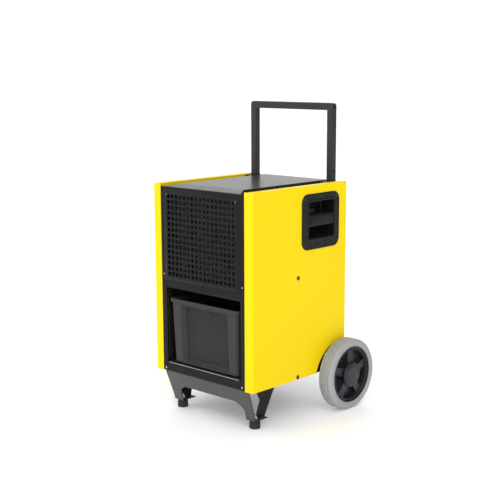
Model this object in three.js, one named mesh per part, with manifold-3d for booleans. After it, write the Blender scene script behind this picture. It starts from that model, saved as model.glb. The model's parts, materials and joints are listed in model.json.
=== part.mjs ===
// Commercial condensation dehumidifier on two rear wheels and two front legs.
//
// A black sheet steel chassis stands between two folded side panels. The upper half holds the
// intake grille, the filter, the coils and the fan; the lower half holds the water tank in an
// open bay, with the compressor behind it. A folding push handle stands in the roof's channels.
//
// Units are millimetres. +X is the machine's right seen from the front, +Z is up. Inside this
// file y is measured backwards from the cabinet's front face and z upwards from the floor; the
// last lines centre the finished machine on its origin.

import * as THREE from 'three';
import { mergeGeometries, mergeVertices } from 'three/addons/utils/BufferGeometryUtils.js';
import Module from 'manifold-3d';

const wasm = await Module();
wasm.setup();

// ---------------------------------------------------------------- driving dimensions

const CABINET_HALF_W = 197;
const CABINET_D = 412;
const PANEL_Z = 124; // bottom edge of the side panels
const TOP_Z = 684; // top face of the roof and of the side panels

const PANEL_T = 2;
const SHEET_T = 1.5;
const GAP = 0.4; // clearance between touching pieces
const BEND_R = 5;
const FRONT_FLANGE_W = 30;
const TOP_RETURN_W = 22;
const REAR_RETURN_W = 17;

const WHEEL_R = 107.5;
const WHEEL_W = 48;
const WHEEL_Y = 386;
const WHEEL_Z = WHEEL_R;
const WHEEL_X = CABINET_HALF_W + 3 + WHEEL_W / 2; // middle of the tyre
const RIM_R = 85;
const AXLE_R = 7;
const ARCH = { y: 388, z: 90, r: 116.5 };

const BEZEL_HALF_W = 166.5;
const BEZEL_TOP = 677.5;
const BEZEL_BOTTOM = 126;
const GRILLE_WINDOW = { halfW: 139, z0: 411, z1: 660 };
const GRILLE_FRAME = { halfW: 155, z0: 403, z1: 672, frontY: -4 }; // raised bevelled surround
const BAY_WINDOW = { halfW: 149.5, z0: 152, z1: 380 };
const BEZEL_Y = 0.8;
const BEZEL_T = 2;
const HOLE_PITCH = 16.2;
const HOLE_SIZE = 11;
const HOLE_COLUMNS = 17;
const HOLE_ROWS = 15;
const HOLE_CENTRE_Z = 537.3;

const ROOF_HALF_W = 125; // raised plate between the two handle channels
const ROOF_SLOPE_END = 44; // the plate falls to the front bezel over this length
const CHANNEL_Z = 661.5; // top of the channel floor
const REAR_Y = 404; // inner face of the rear cover

const SHELF_Z = 380; // plate between the upper and lower halves
const BAY_FLOOR_Z = 153.6;
const BAY_BACK_Y = 262;
const LINER_HALF_W = 158;

const TANK = { top: 349, bottom: 154.2, topHalfW: 135, bottomHalfW: 129, wall: 2.5 };
const TANK_FRONT = { top: 6.5, bottom: 13 };
const TANK_BACK = { top: 248, bottom: 240 };
const FLOAT = { x: 70, y: 205, r: 20, rodR: 3 };

const HANDLE = { halfW: 163, tubeW: 22, tubeD: 20, y: 382, bottom: 666, top: 911, r: 10 };
const PIVOT = { y: 370, z: 673.5, pinR: 4 };

const FAN_Z = 530;
const SHROUD_R = 97;
const GRIP = { y0: 205.5, y1: 373, z0: 499.5, z1: 660.5, r: 25 };
const GRIP_WELL = { y0: 235, y1: 350, z0: 531, z1: 637 };
const GRIP_BAR = { z0: 565, z1: 600 };

const FOOT = { x: 149, y: 60, r: 16, top: 24.6 };
const PANEL_SCREWS = { y: 192, middleZ: 424, lowZ: 131.3 };

// ---------------------------------------------------------------- materials

const paint = (color, roughness, metalness) => () =>
  new THREE.MeshStandardMaterial({ color, roughness, metalness });

const yellowPaint = paint(0xffe018, 0.38, 0.0);
const blackPaint = paint(0x2c2c2e, 0.5, 0.0);
const greyBlackPaint = paint(0x4a4a4b, 0.5, 0.0);
const blackPlastic = paint(0x1b1c1f, 0.55, 0.0);
const tankPlastic = paint(0x3f4041, 0.45, 0.0);
const tyreRubber = paint(0xa9aaad, 0.8, 0.0);
const blackRubber = paint(0x161616, 0.9, 0.0);
const brightSteel = paint(0xb9bcbf, 0.3, 1.0);
const blackSteel = paint(0x202022, 0.4, 0.8);
const aluminium = paint(0xb4b7ba, 0.4, 0.9);
const copper = paint(0xb0693f, 0.35, 1.0);
const filterMedia = paint(0x2a2b2d, 0.95, 0.0);
const whitePlastic = paint(0xd9dad6, 0.5, 0.0);
const greenLens = paint(0x38b454, 0.2, 0.0);

// ---------------------------------------------------------------- solid helpers

/** Turns a closed three.js geometry into a solid that can be joined and cut. */
function solid(geometry) {
  const bare = geometry.clone();
  bare.deleteAttribute('normal');
  bare.deleteAttribute('uv');
  const merged = mergeVertices(bare, 1e-4);
  const vertProperties = Float32Array.from(merged.attributes.position.array);
  const triVerts = Uint32Array.from(merged.index.array);
  return new wasm.Manifold(new wasm.Mesh({ numProp: 3, vertProperties, triVerts }));
}

function toGeometry(body) {
  const { vertProperties, triVerts } = body.getMesh();
  const geometry = new THREE.BufferGeometry();
  geometry.setAttribute('position', new THREE.BufferAttribute(vertProperties, 3));
  geometry.setIndex(new THREE.BufferAttribute(triVerts, 1));
  geometry.computeVertexNormals();
  return geometry;
}

const join = (first, ...others) => others.reduce((sum, body) => sum.add(body), first);
const cut = (first, ...others) => others.reduce((rest, body) => rest.subtract(body), first);

/** Mirrors a solid from the machine's right to its left. */
function mirrored(body) {
  const geometry = toGeometry(body);
  geometry.scale(-1, 1, 1);
  const index = geometry.index.array;
  for (let i = 0; i < index.length; i += 3) {
    [index[i], index[i + 1]] = [index[i + 1], index[i]];
  }
  return solid(geometry);
}

function block(x0, x1, y0, y1, z0, z1) {
  const geometry = new THREE.BoxGeometry(x1 - x0, y1 - y0, z1 - z0);
  geometry.translate((x0 + x1) / 2, (y0 + y1) / 2, (z0 + z1) / 2);
  return solid(geometry);
}

const X = new THREE.Vector3(1, 0, 0);
const Y = new THREE.Vector3(0, 1, 0);
const Z = new THREE.Vector3(0, 0, 1);

function extruded(shape, depth, curveSegments) {
  return new THREE.ExtrudeGeometry(shape, { depth, bevelEnabled: false, curveSegments });
}

/** Extrudes a profile, cuts its holes right through, and turns the result by a matrix. */
function prism(profile, depth, curveSegments, matrix) {
  const outline = profile.outline ?? profile;
  const holes = profile.outline ? profile.holes : [];
  const body = solid(extruded(outline, depth, curveSegments).applyMatrix4(matrix));
  const plugs = holes.map((hole) =>
    solid(extruded(hole, depth + 2, curveSegments).translate(0, 0, -1).applyMatrix4(matrix)));
  return cut(body, ...plugs);
}

/** Extrudes a profile drawn in (x, y). */
function alongZ(profile, z0, z1, curveSegments = 4) {
  const matrix = new THREE.Matrix4().makeTranslation(0, 0, z0);
  return prism(profile, z1 - z0, curveSegments, matrix);
}

/** Extrudes a profile drawn in (y, z). */
function alongX(profile, x0, x1, curveSegments = 4) {
  const matrix = new THREE.Matrix4().makeBasis(Y, Z, X).setPosition(x0, 0, 0);
  return prism(profile, x1 - x0, curveSegments, matrix);
}

/** Extrudes a profile drawn in (x, z). */
function alongY(profile, y0, y1, curveSegments = 4) {
  const matrix = new THREE.Matrix4().makeBasis(X, Z, Y.clone().negate()).setPosition(0, y1, 0);
  return prism(profile, y1 - y0, curveSegments, matrix);
}

const polygon = (points) => new THREE.Shape(points.map(([u, v]) => new THREE.Vector2(u, v)));

function disc(u, v, r) {
  const shape = new THREE.Shape();
  shape.absarc(u, v, r, 0, Math.PI * 2, false);
  return shape;
}

function rectangle(u0, u1, v0, v1) {
  return polygon([[u0, v0], [u1, v0], [u1, v1], [u0, v1]]);
}

function roundedRectangle(u0, u1, v0, v1, r) {
  const shape = new THREE.Shape();
  shape.moveTo(u0 + r, v0);
  shape.lineTo(u1 - r, v0);
  shape.absarc(u1 - r, v0 + r, r, -Math.PI / 2, 0, false);
  shape.lineTo(u1, v1 - r);
  shape.absarc(u1 - r, v1 - r, r, 0, Math.PI / 2, false);
  shape.lineTo(u0 + r, v1);
  shape.absarc(u0 + r, v1 - r, r, Math.PI / 2, Math.PI, false);
  shape.lineTo(u0, v0 + r);
  shape.absarc(u0 + r, v0 + r, r, Math.PI, Math.PI * 1.5, false);
  return shape;
}

const withHoles = (outline, holes) => ({ outline, holes });

/** Revolves a profile of [radius, height] points, listed from the bottom up, about an axis. */
function turned(profile, axis, segments = 24) {
  const points = profile.map(([r, h]) => new THREE.Vector2(r, h));
  const geometry = new THREE.LatheGeometry(points, segments);
  if (axis === 'x') geometry.rotateZ(-Math.PI / 2);
  if (axis === 'z') geometry.rotateX(Math.PI / 2);
  return solid(geometry);
}

/** A plain round bar from one height to another along an axis through the local origin. */
const rod = (r, h0, h1, axis, segments = 24) =>
  turned([[0, h0], [r, h0], [r, h1], [0, h1]], axis, segments);

/** A round pipe that follows a smooth curve through the points. */
function pipe(points, r, steps) {
  const path = new THREE.CatmullRomCurve3(points.map((p) => new THREE.Vector3(...p)));
  const section = disc(0, 0, r);
  const options = { steps, bevelEnabled: false, curveSegments: 4, extrudePath: path };
  return solid(new THREE.ExtrudeGeometry(section, options));
}

/** A rounded box whose section grows or shrinks evenly from the bottom to the top. */
function taperedBox(bottom, top, r) {
  const unit = extruded(roundedRectangle(-1, 1, -1, 1, r), 1, 3);
  const position = unit.attributes.position;
  for (let i = 0; i < position.count; i += 1) {
    const end = position.getZ(i) > 0.5 ? top : bottom;
    position.setXYZ(
      i,
      position.getX(i) * end.halfW,
      (end.y0 + end.y1) / 2 + (position.getY(i) * (end.y1 - end.y0)) / 2,
      end.z,
    );
  }
  return solid(unit);
}

function piece(name, body, material, at = [0, 0, 0]) {
  const mesh = new THREE.Mesh(toGeometry(body), material());
  mesh.name = name;
  mesh.position.set(...at);
  return mesh;
}

function group(at, ...children) {
  const result = new THREE.Group();
  result.position.set(...at);
  result.add(...children);
  return result;
}

// ---------------------------------------------------------------- cabinet shells

/** Folded side panel: side wall, front flange, rear return and a top return with a lip. */
function sidePanel() {
  const outer = CABINET_HALF_W;
  const bendX = outer - BEND_R;
  const backY = CABINET_D - BEND_R;
  const quarter = Math.PI / 2;

  const plan = new THREE.Shape();
  plan.moveTo(outer - FRONT_FLANGE_W, 0);
  plan.lineTo(bendX, 0);
  plan.absarc(bendX, BEND_R, BEND_R, -quarter, 0, false);
  plan.lineTo(outer, backY);
  plan.absarc(bendX, backY, BEND_R, 0, quarter, false);
  plan.lineTo(outer - REAR_RETURN_W, CABINET_D);
  plan.lineTo(outer - REAR_RETURN_W, CABINET_D - PANEL_T);
  plan.lineTo(bendX, CABINET_D - PANEL_T);
  plan.absarc(bendX, backY, BEND_R - PANEL_T, quarter, 0, true);
  plan.lineTo(outer - PANEL_T, BEND_R);
  plan.absarc(bendX, BEND_R, BEND_R - PANEL_T, 0, -quarter, true);
  plan.lineTo(outer - FRONT_FLANGE_W, PANEL_T);

  const cap = new THREE.Shape();
  cap.moveTo(outer - TOP_RETURN_W, 0);
  cap.lineTo(bendX, 0);
  cap.absarc(bendX, BEND_R, BEND_R, -quarter, 0, false);
  cap.lineTo(outer, backY);
  cap.absarc(bendX, backY, BEND_R, 0, quarter, false);
  cap.lineTo(outer - TOP_RETURN_W, CABINET_D);

  const lipX = outer - TOP_RETURN_W;
  const shell = join(
    alongZ(plan, PANEL_Z, TOP_Z),
    alongZ(cap, TOP_Z - PANEL_T, TOP_Z),
    block(lipX, lipX + PANEL_T, 1, CABINET_D - 1, TOP_Z - 12, TOP_Z - 1),
  );

  const wellOpening = roundedRectangle(
    GRIP_WELL.y0 - 6, GRIP_WELL.y1 + 6, GRIP_WELL.z0 - 6, GRIP_WELL.z1 + 6, 10,
  );
  const { y, middleZ, lowZ } = PANEL_SCREWS;
  return cut(
    shell,
    alongX(disc(ARCH.y, ARCH.z, ARCH.r), outer - 25, outer + 3, 24),
    alongX(wellOpening, outer - 5, outer + 3),
    alongX(disc(y, middleZ, 2.6), outer - 5, outer + 3),
    alongX(disc(y, lowZ, 2.6), outer - 5, outer + 3),
  );
}

/** Roof: a raised cap that falls to the front, between two channels for the handle. */
function roofCover() {
  const frontY = 3.4;
  const frontHalfW = 150;
  const backY = REAR_Y + 2 * SHEET_T + GAP;
  const skirtZ = CHANNEL_Z - SHEET_T - 0.4;
  const plan = (inset) => {
    const front = [frontHalfW - inset * 1.4, frontY + inset];
    const shoulder = [ROOF_HALF_W - inset, ROOF_SLOPE_END + inset * 0.3];
    const back = [ROOF_HALF_W - inset, backY - inset];
    const right = [front, shoulder, back];
    return polygon([...right, ...right.map(([x, y]) => [-x, y]).reverse()]);
  };

  const slope = Math.atan2(TOP_Z - BEZEL_TOP, ROOF_SLOPE_END - frontY);
  const aboveSlope = (lower) => {
    const geometry = new THREE.BoxGeometry(400, 120, 40).translate(0, -60, 20).rotateX(slope);
    return solid(geometry.translate(0, ROOF_SLOPE_END, TOP_Z - lower));
  };
  const outside = cut(alongZ(plan(0), skirtZ, TOP_Z), aboveSlope(0));
  const inside = cut(alongZ(plan(SHEET_T), skirtZ - 1, TOP_Z - SHEET_T), aboveSlope(SHEET_T));

  const floor = block(ROOF_HALF_W - 1, CABINET_HALF_W - 5, 20, REAR_Y - 0.5,
    CHANNEL_Z - SHEET_T, CHANNEL_Z);
  const rearFlange = block(-173, 173, backY - 1.3, backY - 0.2, skirtZ - 4, TOP_Z - 4);
  return cut(
    join(cut(outside, inside), floor, mirrored(floor), rearFlange),
    block(-200, 200, 0, 23, skirtZ - 5, 670.2),
    block(-200, 200, REAR_Y - 0.4, backY - SHEET_T, skirtZ - 10, 672),
  );
}

/** A block whose section grows evenly from the rectangle at its front to the one at its back. */
function frontTaper(front, back) {
  const geometry = new THREE.BoxGeometry(1, 1, 1);
  const position = geometry.attributes.position;
  for (let i = 0; i < position.count; i += 1) {
    const end = position.getY(i) < 0 ? front : back;
    const x = position.getX(i) < 0 ? -end.halfW : end.halfW;
    const z = position.getZ(i) < 0 ? end.z0 : end.z1;
    position.setXYZ(i, x, end.y, z);
  }
  return solid(geometry);
}

/** Front frame: a raised surround with bevelled edges around the grille, the tank bay below. */
function frontBezel() {
  const bay = rectangle(-BAY_WINDOW.halfW, BAY_WINDOW.halfW, BAY_WINDOW.z0, BAY_WINDOW.z1);
  const outline = rectangle(-BEZEL_HALF_W, BEZEL_HALF_W, BEZEL_BOTTOM, BEZEL_TOP);
  const face = alongY(withHoles(outline, [bay]), BEZEL_Y, BEZEL_Y + BEZEL_T);
  const { halfW, z0, z1 } = GRILLE_WINDOW;
  const raised = frontTaper({ halfW, z0, z1, y: GRILLE_FRAME.frontY }, { ...GRILLE_FRAME, y: BEZEL_Y });
  const hollow = raised.translate(0, BEZEL_T, 0);
  const opening = block(-halfW, halfW, GRILLE_FRAME.frontY - 1, BEZEL_Y + BEZEL_T + 1, z0, z1);
  const backCut = block(1 - GRILLE_FRAME.halfW, GRILLE_FRAME.halfW - 1, 2, BEZEL_Y + BEZEL_T + 1,
    GRILLE_FRAME.z0 + 1, GRILLE_FRAME.z1 - 1);
  const returnX = BEZEL_HALF_W - BEZEL_T;
  const sideReturn = block(returnX, BEZEL_HALF_W, 2, 22, BAY_WINDOW.z0, CHANNEL_Z - 4);
  return join(cut(join(face, raised), hollow, opening, backCut), sideReturn, mirrored(sideReturn));
}

/** Perforated intake plate with a square grid of square holes, set into the raised surround. */
function intakeGrille() {
  const frontY = GRILLE_FRAME.frontY + GAP;
  const backY = frontY + 1.2;
  const halfW = GRILLE_WINDOW.halfW - 0.3;
  const holes = [];
  for (let row = 0; row < HOLE_ROWS; row += 1) {
    for (let column = 0; column < HOLE_COLUMNS; column += 1) {
      const x = (column - (HOLE_COLUMNS - 1) / 2) * HOLE_PITCH;
      const z = HOLE_CENTRE_Z + (row - (HOLE_ROWS - 1) / 2) * HOLE_PITCH;
      holes.push(new THREE.BoxGeometry(HOLE_SIZE, 4, HOLE_SIZE).translate(x, (frontY + backY) / 2, z));
    }
  }
  const plate = block(-halfW, halfW, frontY, backY, GRILLE_WINDOW.z0 + 0.3, GRILLE_WINDOW.z1 - 0.3);
  return cut(plate, solid(mergeGeometries(holes)));
}

/** Open filter frame with a grid of ribs, behind the grille. */
function airFilter() {
  const windows = [];
  for (let row = 0; row < 3; row += 1) {
    for (let column = 0; column < 3; column += 1) {
      const x = -138 + column * 93;
      const z = 410 + row * 83;
      windows.push(rectangle(x, x + 90, z, z + 79));
    }
  }
  return alongY(withHoles(rectangle(-146, 146, 405, 660), windows), 6, 12);
}

/** Rear cover with openings for the outlet, the controls and the mains inlet. */
function rearCover() {
  const face = withHoles(rectangle(-193, 193, 148, 671.5), [
    rectangle(-95, 95, 435, 625),
    rectangle(-64, 64, 298, 366),
    disc(110, 250, 9),
  ]);
  return alongY(face, REAR_Y, REAR_Y + SHEET_T);
}

/** Slotted outlet plate. */
function outletGrille() {
  const slots = [];
  for (let row = 0; row < 10; row += 1) {
    for (let column = 0; column < 2; column += 1) {
      const x = -93 + column * 96;
      const z = 437 + row * 19;
      slots.push(rectangle(x, x + 90, z, z + 11));
    }
  }
  const face = withHoles(rectangle(-105, 105, 425, 635), slots);
  return alongY(face, REAR_Y + SHEET_T + GAP, REAR_Y + 2 * SHEET_T + GAP);
}

/** Moulded grip recess in a side panel: flange, well and a bar across the well. */
function gripRecess() {
  const outer = CABINET_HALF_W;
  const { y0, y1, z0, z1 } = GRIP_WELL;
  const mouth = () => roundedRectangle(y0, y1, z0, z1, 6);
  const wall = 4;
  const sleeve = () => roundedRectangle(y0 - wall, y1 + wall, z0 - wall, z1 + wall, 9);
  const flange = roundedRectangle(GRIP.y0, GRIP.y1, GRIP.z0, GRIP.z1, GRIP.r);
  return join(
    alongX(withHoles(flange, [mouth()]), outer + 0.3, outer + 3.3, 3),
    alongX(withHoles(sleeve(), [mouth()]), 149, outer + 1, 2),
    alongX(sleeve(), 146, 150, 2),
    block(180, outer + 1.5, y0 - 1, y1 + 1, GRIP_BAR.z0, GRIP_BAR.z1),
    block(outer, outer + 4, y0 + 9, y1 - 9, GRIP_BAR.z0 + 8, GRIP_BAR.z1 - 8),
  );
}

/** Short pan-head screw along +X, its head's underside at the local origin. */
const panelScrew = () =>
  turned([[0, -2.2], [2.2, -2.2], [2.2, 0.2], [5, 0.2], [5, 1.6], [3.6, 2.8], [0, 2.8]], 'x', 12);

// ---------------------------------------------------------------- chassis

/** Folded base tray. */
function basePan() {
  const halfW = CABINET_HALF_W - PANEL_T - 0.7;
  const front = 3.2;
  const back = REAR_Y - 0.5;
  const floor = PANEL_Z + 1;
  const wallH = 21;
  return cut(
    block(-halfW, halfW, front, back, floor, floor + wallH),
    block(-halfW + SHEET_T, halfW - SHEET_T, front + SHEET_T, back - SHEET_T,
      floor + SHEET_T, floor + wallH + 1),
  );
}

/** Front leg frame: a raked apron with two legs, raked side plates and a pad over each foot. */
function legFrame() {
  const top = PANEL_Z + 0.6;
  const plateT = 2.5;
  const padZ = FOOT.top + GAP;
  const apronTopY = 10;
  const apronBottomY = 45;
  const drop = top - padZ;
  const rake = Math.atan2(apronBottomY - apronTopY, drop);
  const stretch = 1 / Math.cos(rake);

  const down = (z) => (z - top) * stretch;
  const apron = new THREE.Shape();
  apron.moveTo(171, down(top));
  [[171, 112], [166, padZ], [129, padZ], [131, 52]].forEach(([x, z]) => apron.lineTo(x, down(z)));
  apron.quadraticCurveTo(132, down(64), 104, down(77));
  apron.lineTo(-104, down(77));
  apron.quadraticCurveTo(-132, down(64), -131, down(52));
  [[-129, padZ], [-166, padZ], [-171, 112], [-171, top]].forEach(([x, z]) => apron.lineTo(x, down(z)));
  const apronPlate = extruded(apron, plateT, 5);
  apronPlate.applyMatrix4(new THREE.Matrix4().makeBasis(X, Z, Y.clone().negate()));
  apronPlate.translate(0, plateT, 0).rotateX(rake).translate(0, apronTopY, top);

  const sideTopX = 169;
  const sideBottomX = 153;
  const lean = Math.atan2(sideTopX - sideBottomX, drop);
  const sideOutline = [
    [43, 0], [129, 0], [96, -drop], [63, -drop], [60, -76], [68, -42], [49, -14],
  ];
  const sidePlate = extruded(
    polygon(sideOutline.map(([y, v]) => [y, v / Math.cos(lean)])), plateT, 1,
  );
  sidePlate.applyMatrix4(new THREE.Matrix4().makeBasis(Y, Z, X));
  sidePlate.translate(-plateT, 0, 0).rotateY(lean).translate(sideTopX, 0, top);

  const side = join(
    solid(sidePlate),
    block(128.5, 166, 43.5, 96, padZ, padZ + plateT),
  );
  const body = join(
    block(-sideTopX, sideTopX, apronTopY, 129, top - plateT, top),
    solid(apronPlate),
    side,
    mirrored(side),
  );
  const below = block(-250, 250, -50, 200, padZ - 20, padZ);
  const above = block(-250, 250, -50, 200, top, top + 20);
  return cut(body, below, above);
}

const foot = () =>
  turned([[0, 0], [14.5, 0], [FOOT.r, 2], [FOOT.r, 14], [14.6, 16], [FOOT.r, 18],
    [FOOT.r, FOOT.top], [0, FOOT.top]], 'z', 20);

/** Cross member under the rear of the base, with a cheek at each end that holds the axle. */
function axleCarrier() {
  const top = PANEL_Z + 0.6;
  const cheek = new THREE.Shape();
  cheek.moveTo(WHEEL_Y - 16, top);
  cheek.lineTo(WHEEL_Y - 16, WHEEL_Z);
  cheek.absarc(WHEEL_Y, WHEEL_Z, 16, Math.PI, 0, false);
  cheek.lineTo(WHEEL_Y + 16, top);
  const bore = disc(WHEEL_Y, WHEEL_Z, AXLE_R + GAP);
  const side = alongX(withHoles(cheek, [bore]), 172, 176, 8);
  return join(
    block(-176, 176, WHEEL_Y - 16, WHEEL_Y + 16, top - 3, top),
    side,
    mirrored(side),
  );
}

/** Back wall and side walls of the tank bay, folded from one sheet, with front flanges. */
function tankBayLiner() {
  const inner = LINER_HALF_W;
  const outer = LINER_HALF_W + SHEET_T;
  const flange = BEZEL_HALF_W - 2.5;
  const front = 24;
  const back = BAY_BACK_Y + SHEET_T;
  const right = [
    [inner, BAY_BACK_Y], [inner, front], [flange, front], [flange, front + SHEET_T],
    [outer, front + SHEET_T], [outer, back],
  ];
  const left = right.map(([x, y]) => [-x, y]).reverse();
  return alongZ(polygon([...right, ...left]), PANEL_Z + 3, SHELF_Z - GAP);
}
/** Raised floor that the tank slides on. */
function bayFloor() {
  const under = BAY_FLOOR_Z - SHEET_T;
  const runner = block(140, 140 + SHEET_T, 9, BAY_BACK_Y - 1, PANEL_Z + 3, under + 0.5);
  return join(
    block(-157, 157, 8, BAY_BACK_Y - 1, under, BAY_FLOOR_Z),
    block(-157, 157, 8, 8 + SHEET_T, PANEL_Z + 3, under + 0.5),
    runner,
    mirrored(runner),
  );
}

/** Bright strip along the lower edge of the bay's mouth. */
const baySill = () => block(-143.4, 143.4, 0.2, 7.6, BAY_WINDOW.z0 + GAP, BAY_FLOOR_Z);

/** Shelf between the halves, with a baffle at each side of the coils. */
function midShelf() {
  const plan = withHoles(rectangle(-163, 163, 4.8, REAR_Y - 1), [
    disc(0, 120, 9),
    disc(-60, 335, 6),
    disc(-139, 296, 7),
  ]);
  const baffle = block(147, 147 + SHEET_T, 13, 145, SHELF_Z + 1, 656);
  return join(alongZ(plan, SHELF_Z, SHELF_Z + SHEET_T), baffle, mirrored(baffle));
}

// ---------------------------------------------------------------- air path and cooling circuit

/** Finned coil block: a row of fins either side of a tube sheet. */
function finnedCoil(frontY, backY) {
  const fins = 17;
  const pitch = 15.6;
  const finT = 3;
  const middle = (frontY + backY) / 2;
  const web = 2;
  const starts = Array.from({ length: fins }, (_, i) => (i - (fins - 1) / 2) * pitch - finT / 2);
  const front = starts.flatMap((x) => [
    [x, middle - web], [x, frontY], [x + finT, frontY], [x + finT, middle - web],
  ]);
  const back = starts.slice().reverse().flatMap((x) => [
    [x + finT, middle + web], [x + finT, backY], [x, backY], [x, middle + web],
  ]);
  return alongZ(polygon([...front, ...back]), 400, 655);
}

/** Open tray under the coils, with a drain hole. */
function dripTray() {
  return cut(
    block(-142, 142, 20, 134, 384, 397),
    block(-140, 140, 22, 132, 386, 398),
    rod(8.6, 380, 390, 'z', 16).translate(0, 120, 0),
  );
}

/** Drain pipe that hangs over the tank's open top. */
function drainSpout() {
  const profile = [[6, 353], [8, 353], [8, 388], [6, 388], [6, 353]];
  return turned(profile, 'z', 16);
}

/** Square fan plate with an inlet ring. */
function fanShroud() {
  const plateY = 380;
  const opening = () => disc(0, FAN_Z, SHROUD_R);
  return join(
    alongY(withHoles(rectangle(-120, 120, 405, 655), [opening()]), plateY, plateY + SHEET_T, 16),
    alongY(withHoles(disc(0, FAN_Z, SHROUD_R + 2), [opening()]), 342, plateY + 1, 16),
  );
}

const fanMotor = () =>
  cut(
    turned([[0, 286], [30, 286], [37, 292], [38, 294], [38, 338], [36, 341], [14, 345], [0, 345]],
      'y', 24),
    rod(4.6, 333, 346, 'y', 12),
  );

/** Three-armed bracket that hangs the motor from the fan plate. */
function motorBracket() {
  const ring = cut(rod(43, 316, 324, 'y', 24), rod(38.4, 315, 325, 'y', 24));
  const arm = join(
    block(-5, 5, 318, 322, 41, 106),
    block(-5, 5, 318, 380 - GAP, 101.5, 106),
  );
  const arms = [0, 1, 2].map((i) => {
    const geometry = toGeometry(arm);
    return solid(geometry.rotateY((i * 2 * Math.PI) / 3));
  });
  return join(ring, ...arms);
}

/** Axial rotor: hub, shaft and pitched blades, turning about the local Y axis. */
function fanRotor() {
  const blades = 6;
  const pitch = THREE.MathUtils.degToRad(32);
  const bladeList = Array.from({ length: blades }, (_, i) => {
    const geometry = new THREE.BoxGeometry(38, 2.4, 66);
    geometry.rotateZ(pitch).translate(0, 357, 58).rotateY((i * 2 * Math.PI) / blades);
    return solid(geometry);
  });
  return join(
    rod(28, 347, 368, 'y', 24),
    rod(4, 335, 350, 'y', 12),
    ...bladeList,
  );
}

/** Hermetic compressor: welded shell on a foot plate. */
function compressor() {
  const plate = roundedRectangle(-52, 52, -52, 52, 14);
  return join(
    turned([[0, 136], [38, 136], [50, 146], [53, 156], [53, 206], [55, 208], [55, 214], [53, 216],
      [53, 262], [46, 284], [28, 296], [0, 300]], 'z', 20),
    alongZ(plate, 134.5, 137.5),
  );
}

const grommet = () => rod(9, PANEL_Z + 1 + SHEET_T + GAP, 134, 'z', 16);

const filterDrier = () =>
  turned([[0, 200], [4, 200], [4, 208], [11, 214], [11, 262], [4, 268], [4, 276], [0, 276]],
    'z', 16);

const suctionPipe = () =>
  pipe([[-20, 335, 300.6], [-20, 335, 328], [-45, 324, 350], [-100, 306, 358], [-135, 297, 364],
    [-139, 296, 376], [-139, 296, 394], [-139, 280, 409], [-139, 240, 412], [-139, 130, 412],
    [-139, 78, 412], [-138, 60, 412], [-132, 50, 412]], 4, 32);

const dischargePipe = () =>
  pipe([[-60, 335, 300.6], [-60, 335, 340], [-60, 335, 386], [-60, 318, 406], [-60, 270, 409],
    [-60, 119, 409]], 3.5, 22);

// ---------------------------------------------------------------- controls

function electricalBox() {
  const lid = block(38, 152, 278, 282, 127.5, 236);
  return join(block(40, 150, 280, 375, 127.5, 234), lid);
}

const controlPlateY = REAR_Y + SHEET_T + GAP;

function controlPlate() {
  const face = withHoles(roundedRectangle(-72, 72, 290, 374, 5), [
    disc(-42, 332, 4.6),
    rectangle(1, 17, 319, 345),
    rectangle(33.5, 58.5, 324.5, 339.5),
    disc(46, 356, 4),
  ]);
  return alongY(face, controlPlateY, controlPlateY + 2);
}

/** Humidity selector: a skirted knob with a pointer rib, turning about the local Y axis. */
function humidistatKnob() {
  const skirt = turned([[0, 3], [18, 3], [18, 6], [14.5, 8], [13.5, 18], [12, 19], [0, 19]],
    'y', 20);
  const pointer = block(-1.4, 1.4, 17, 20.5, 1, 12.5);
  return join(skirt, rod(4, -8, 5, 'y', 12), pointer);
}

/** Rocker of the mains switch, tilted to "off", turning about the local X axis. */
function powerSwitch() {
  const profile = polygon([[-4.5, -9], [3.5, -11.5], [2, 0], [3.5, 11.5], [-4.5, 9]]);
  const geometry = toGeometry(alongX(profile, -7.2, 7.2));
  return solid(geometry.rotateX(THREE.MathUtils.degToRad(-8)));
}

const hourMeter = () =>
  join(
    block(30, 62, controlPlateY + 2.4, controlPlateY + 5.5, 321, 343),
    block(34, 58, controlPlateY - 12, controlPlateY + 3, 325, 339),
  );

/** Domed pilot lamp lens on a short stem, along the local Y axis. */
const indicatorLens = () =>
  turned([[0, -4], [3.5, -4], [3.5, 2.4], [6, 2.4], [6, 4], [4.6, 6.2], [2.4, 7.4], [0, 7.8]],
    'y', 16);

/** Cable gland of the mains inlet, with an empty bore, along the local Y axis. */
const powerInlet = () =>
  turned([[0, -8], [8, -8], [8, 2], [13, 2], [13, 8], [10, 9], [9, 16], [4.5, 16], [4.5, 0],
    [0, 0]], 'y', 16);

// ---------------------------------------------------------------- handle

/** Pivot bracket in a roof channel: two cheeks on a web. */
function handleBracket() {
  const { halfW, tubeW } = HANDLE;
  const innerX = halfW - tubeW - GAP;
  const outerX = halfW + GAP;
  const cheekT = 2;
  const z0 = CHANNEL_Z + GAP;
  const cheeks = join(
    block(innerX - cheekT, innerX, 358, 402, z0, TOP_Z - 0.8),
    block(outerX, outerX + cheekT, 358, 402, z0, TOP_Z - 0.8),
    block(innerX - cheekT, outerX + cheekT, 358, 402, z0, z0 + 1.5),
  );
  const bore = alongX(disc(PIVOT.y, PIVOT.z, PIVOT.pinR + 0.4), 120, 180);
  return cut(cheeks, bore);
}

function handlePin() {
  const x0 = HANDLE.halfW - HANDLE.tubeW - GAP - 2;
  const x1 = HANDLE.halfW + GAP + 2;
  const r = PIVOT.pinR;
  return turned([[0, x0 - 2.4], [6, x0 - 2.4], [6, x0 - 0.4], [r, x0 - 0.4], [r, x1 + 0.4],
    [6, x1 + 0.4], [6, x1 + 2.4], [0, x1 + 2.4]], 'x', 12);
}

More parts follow.
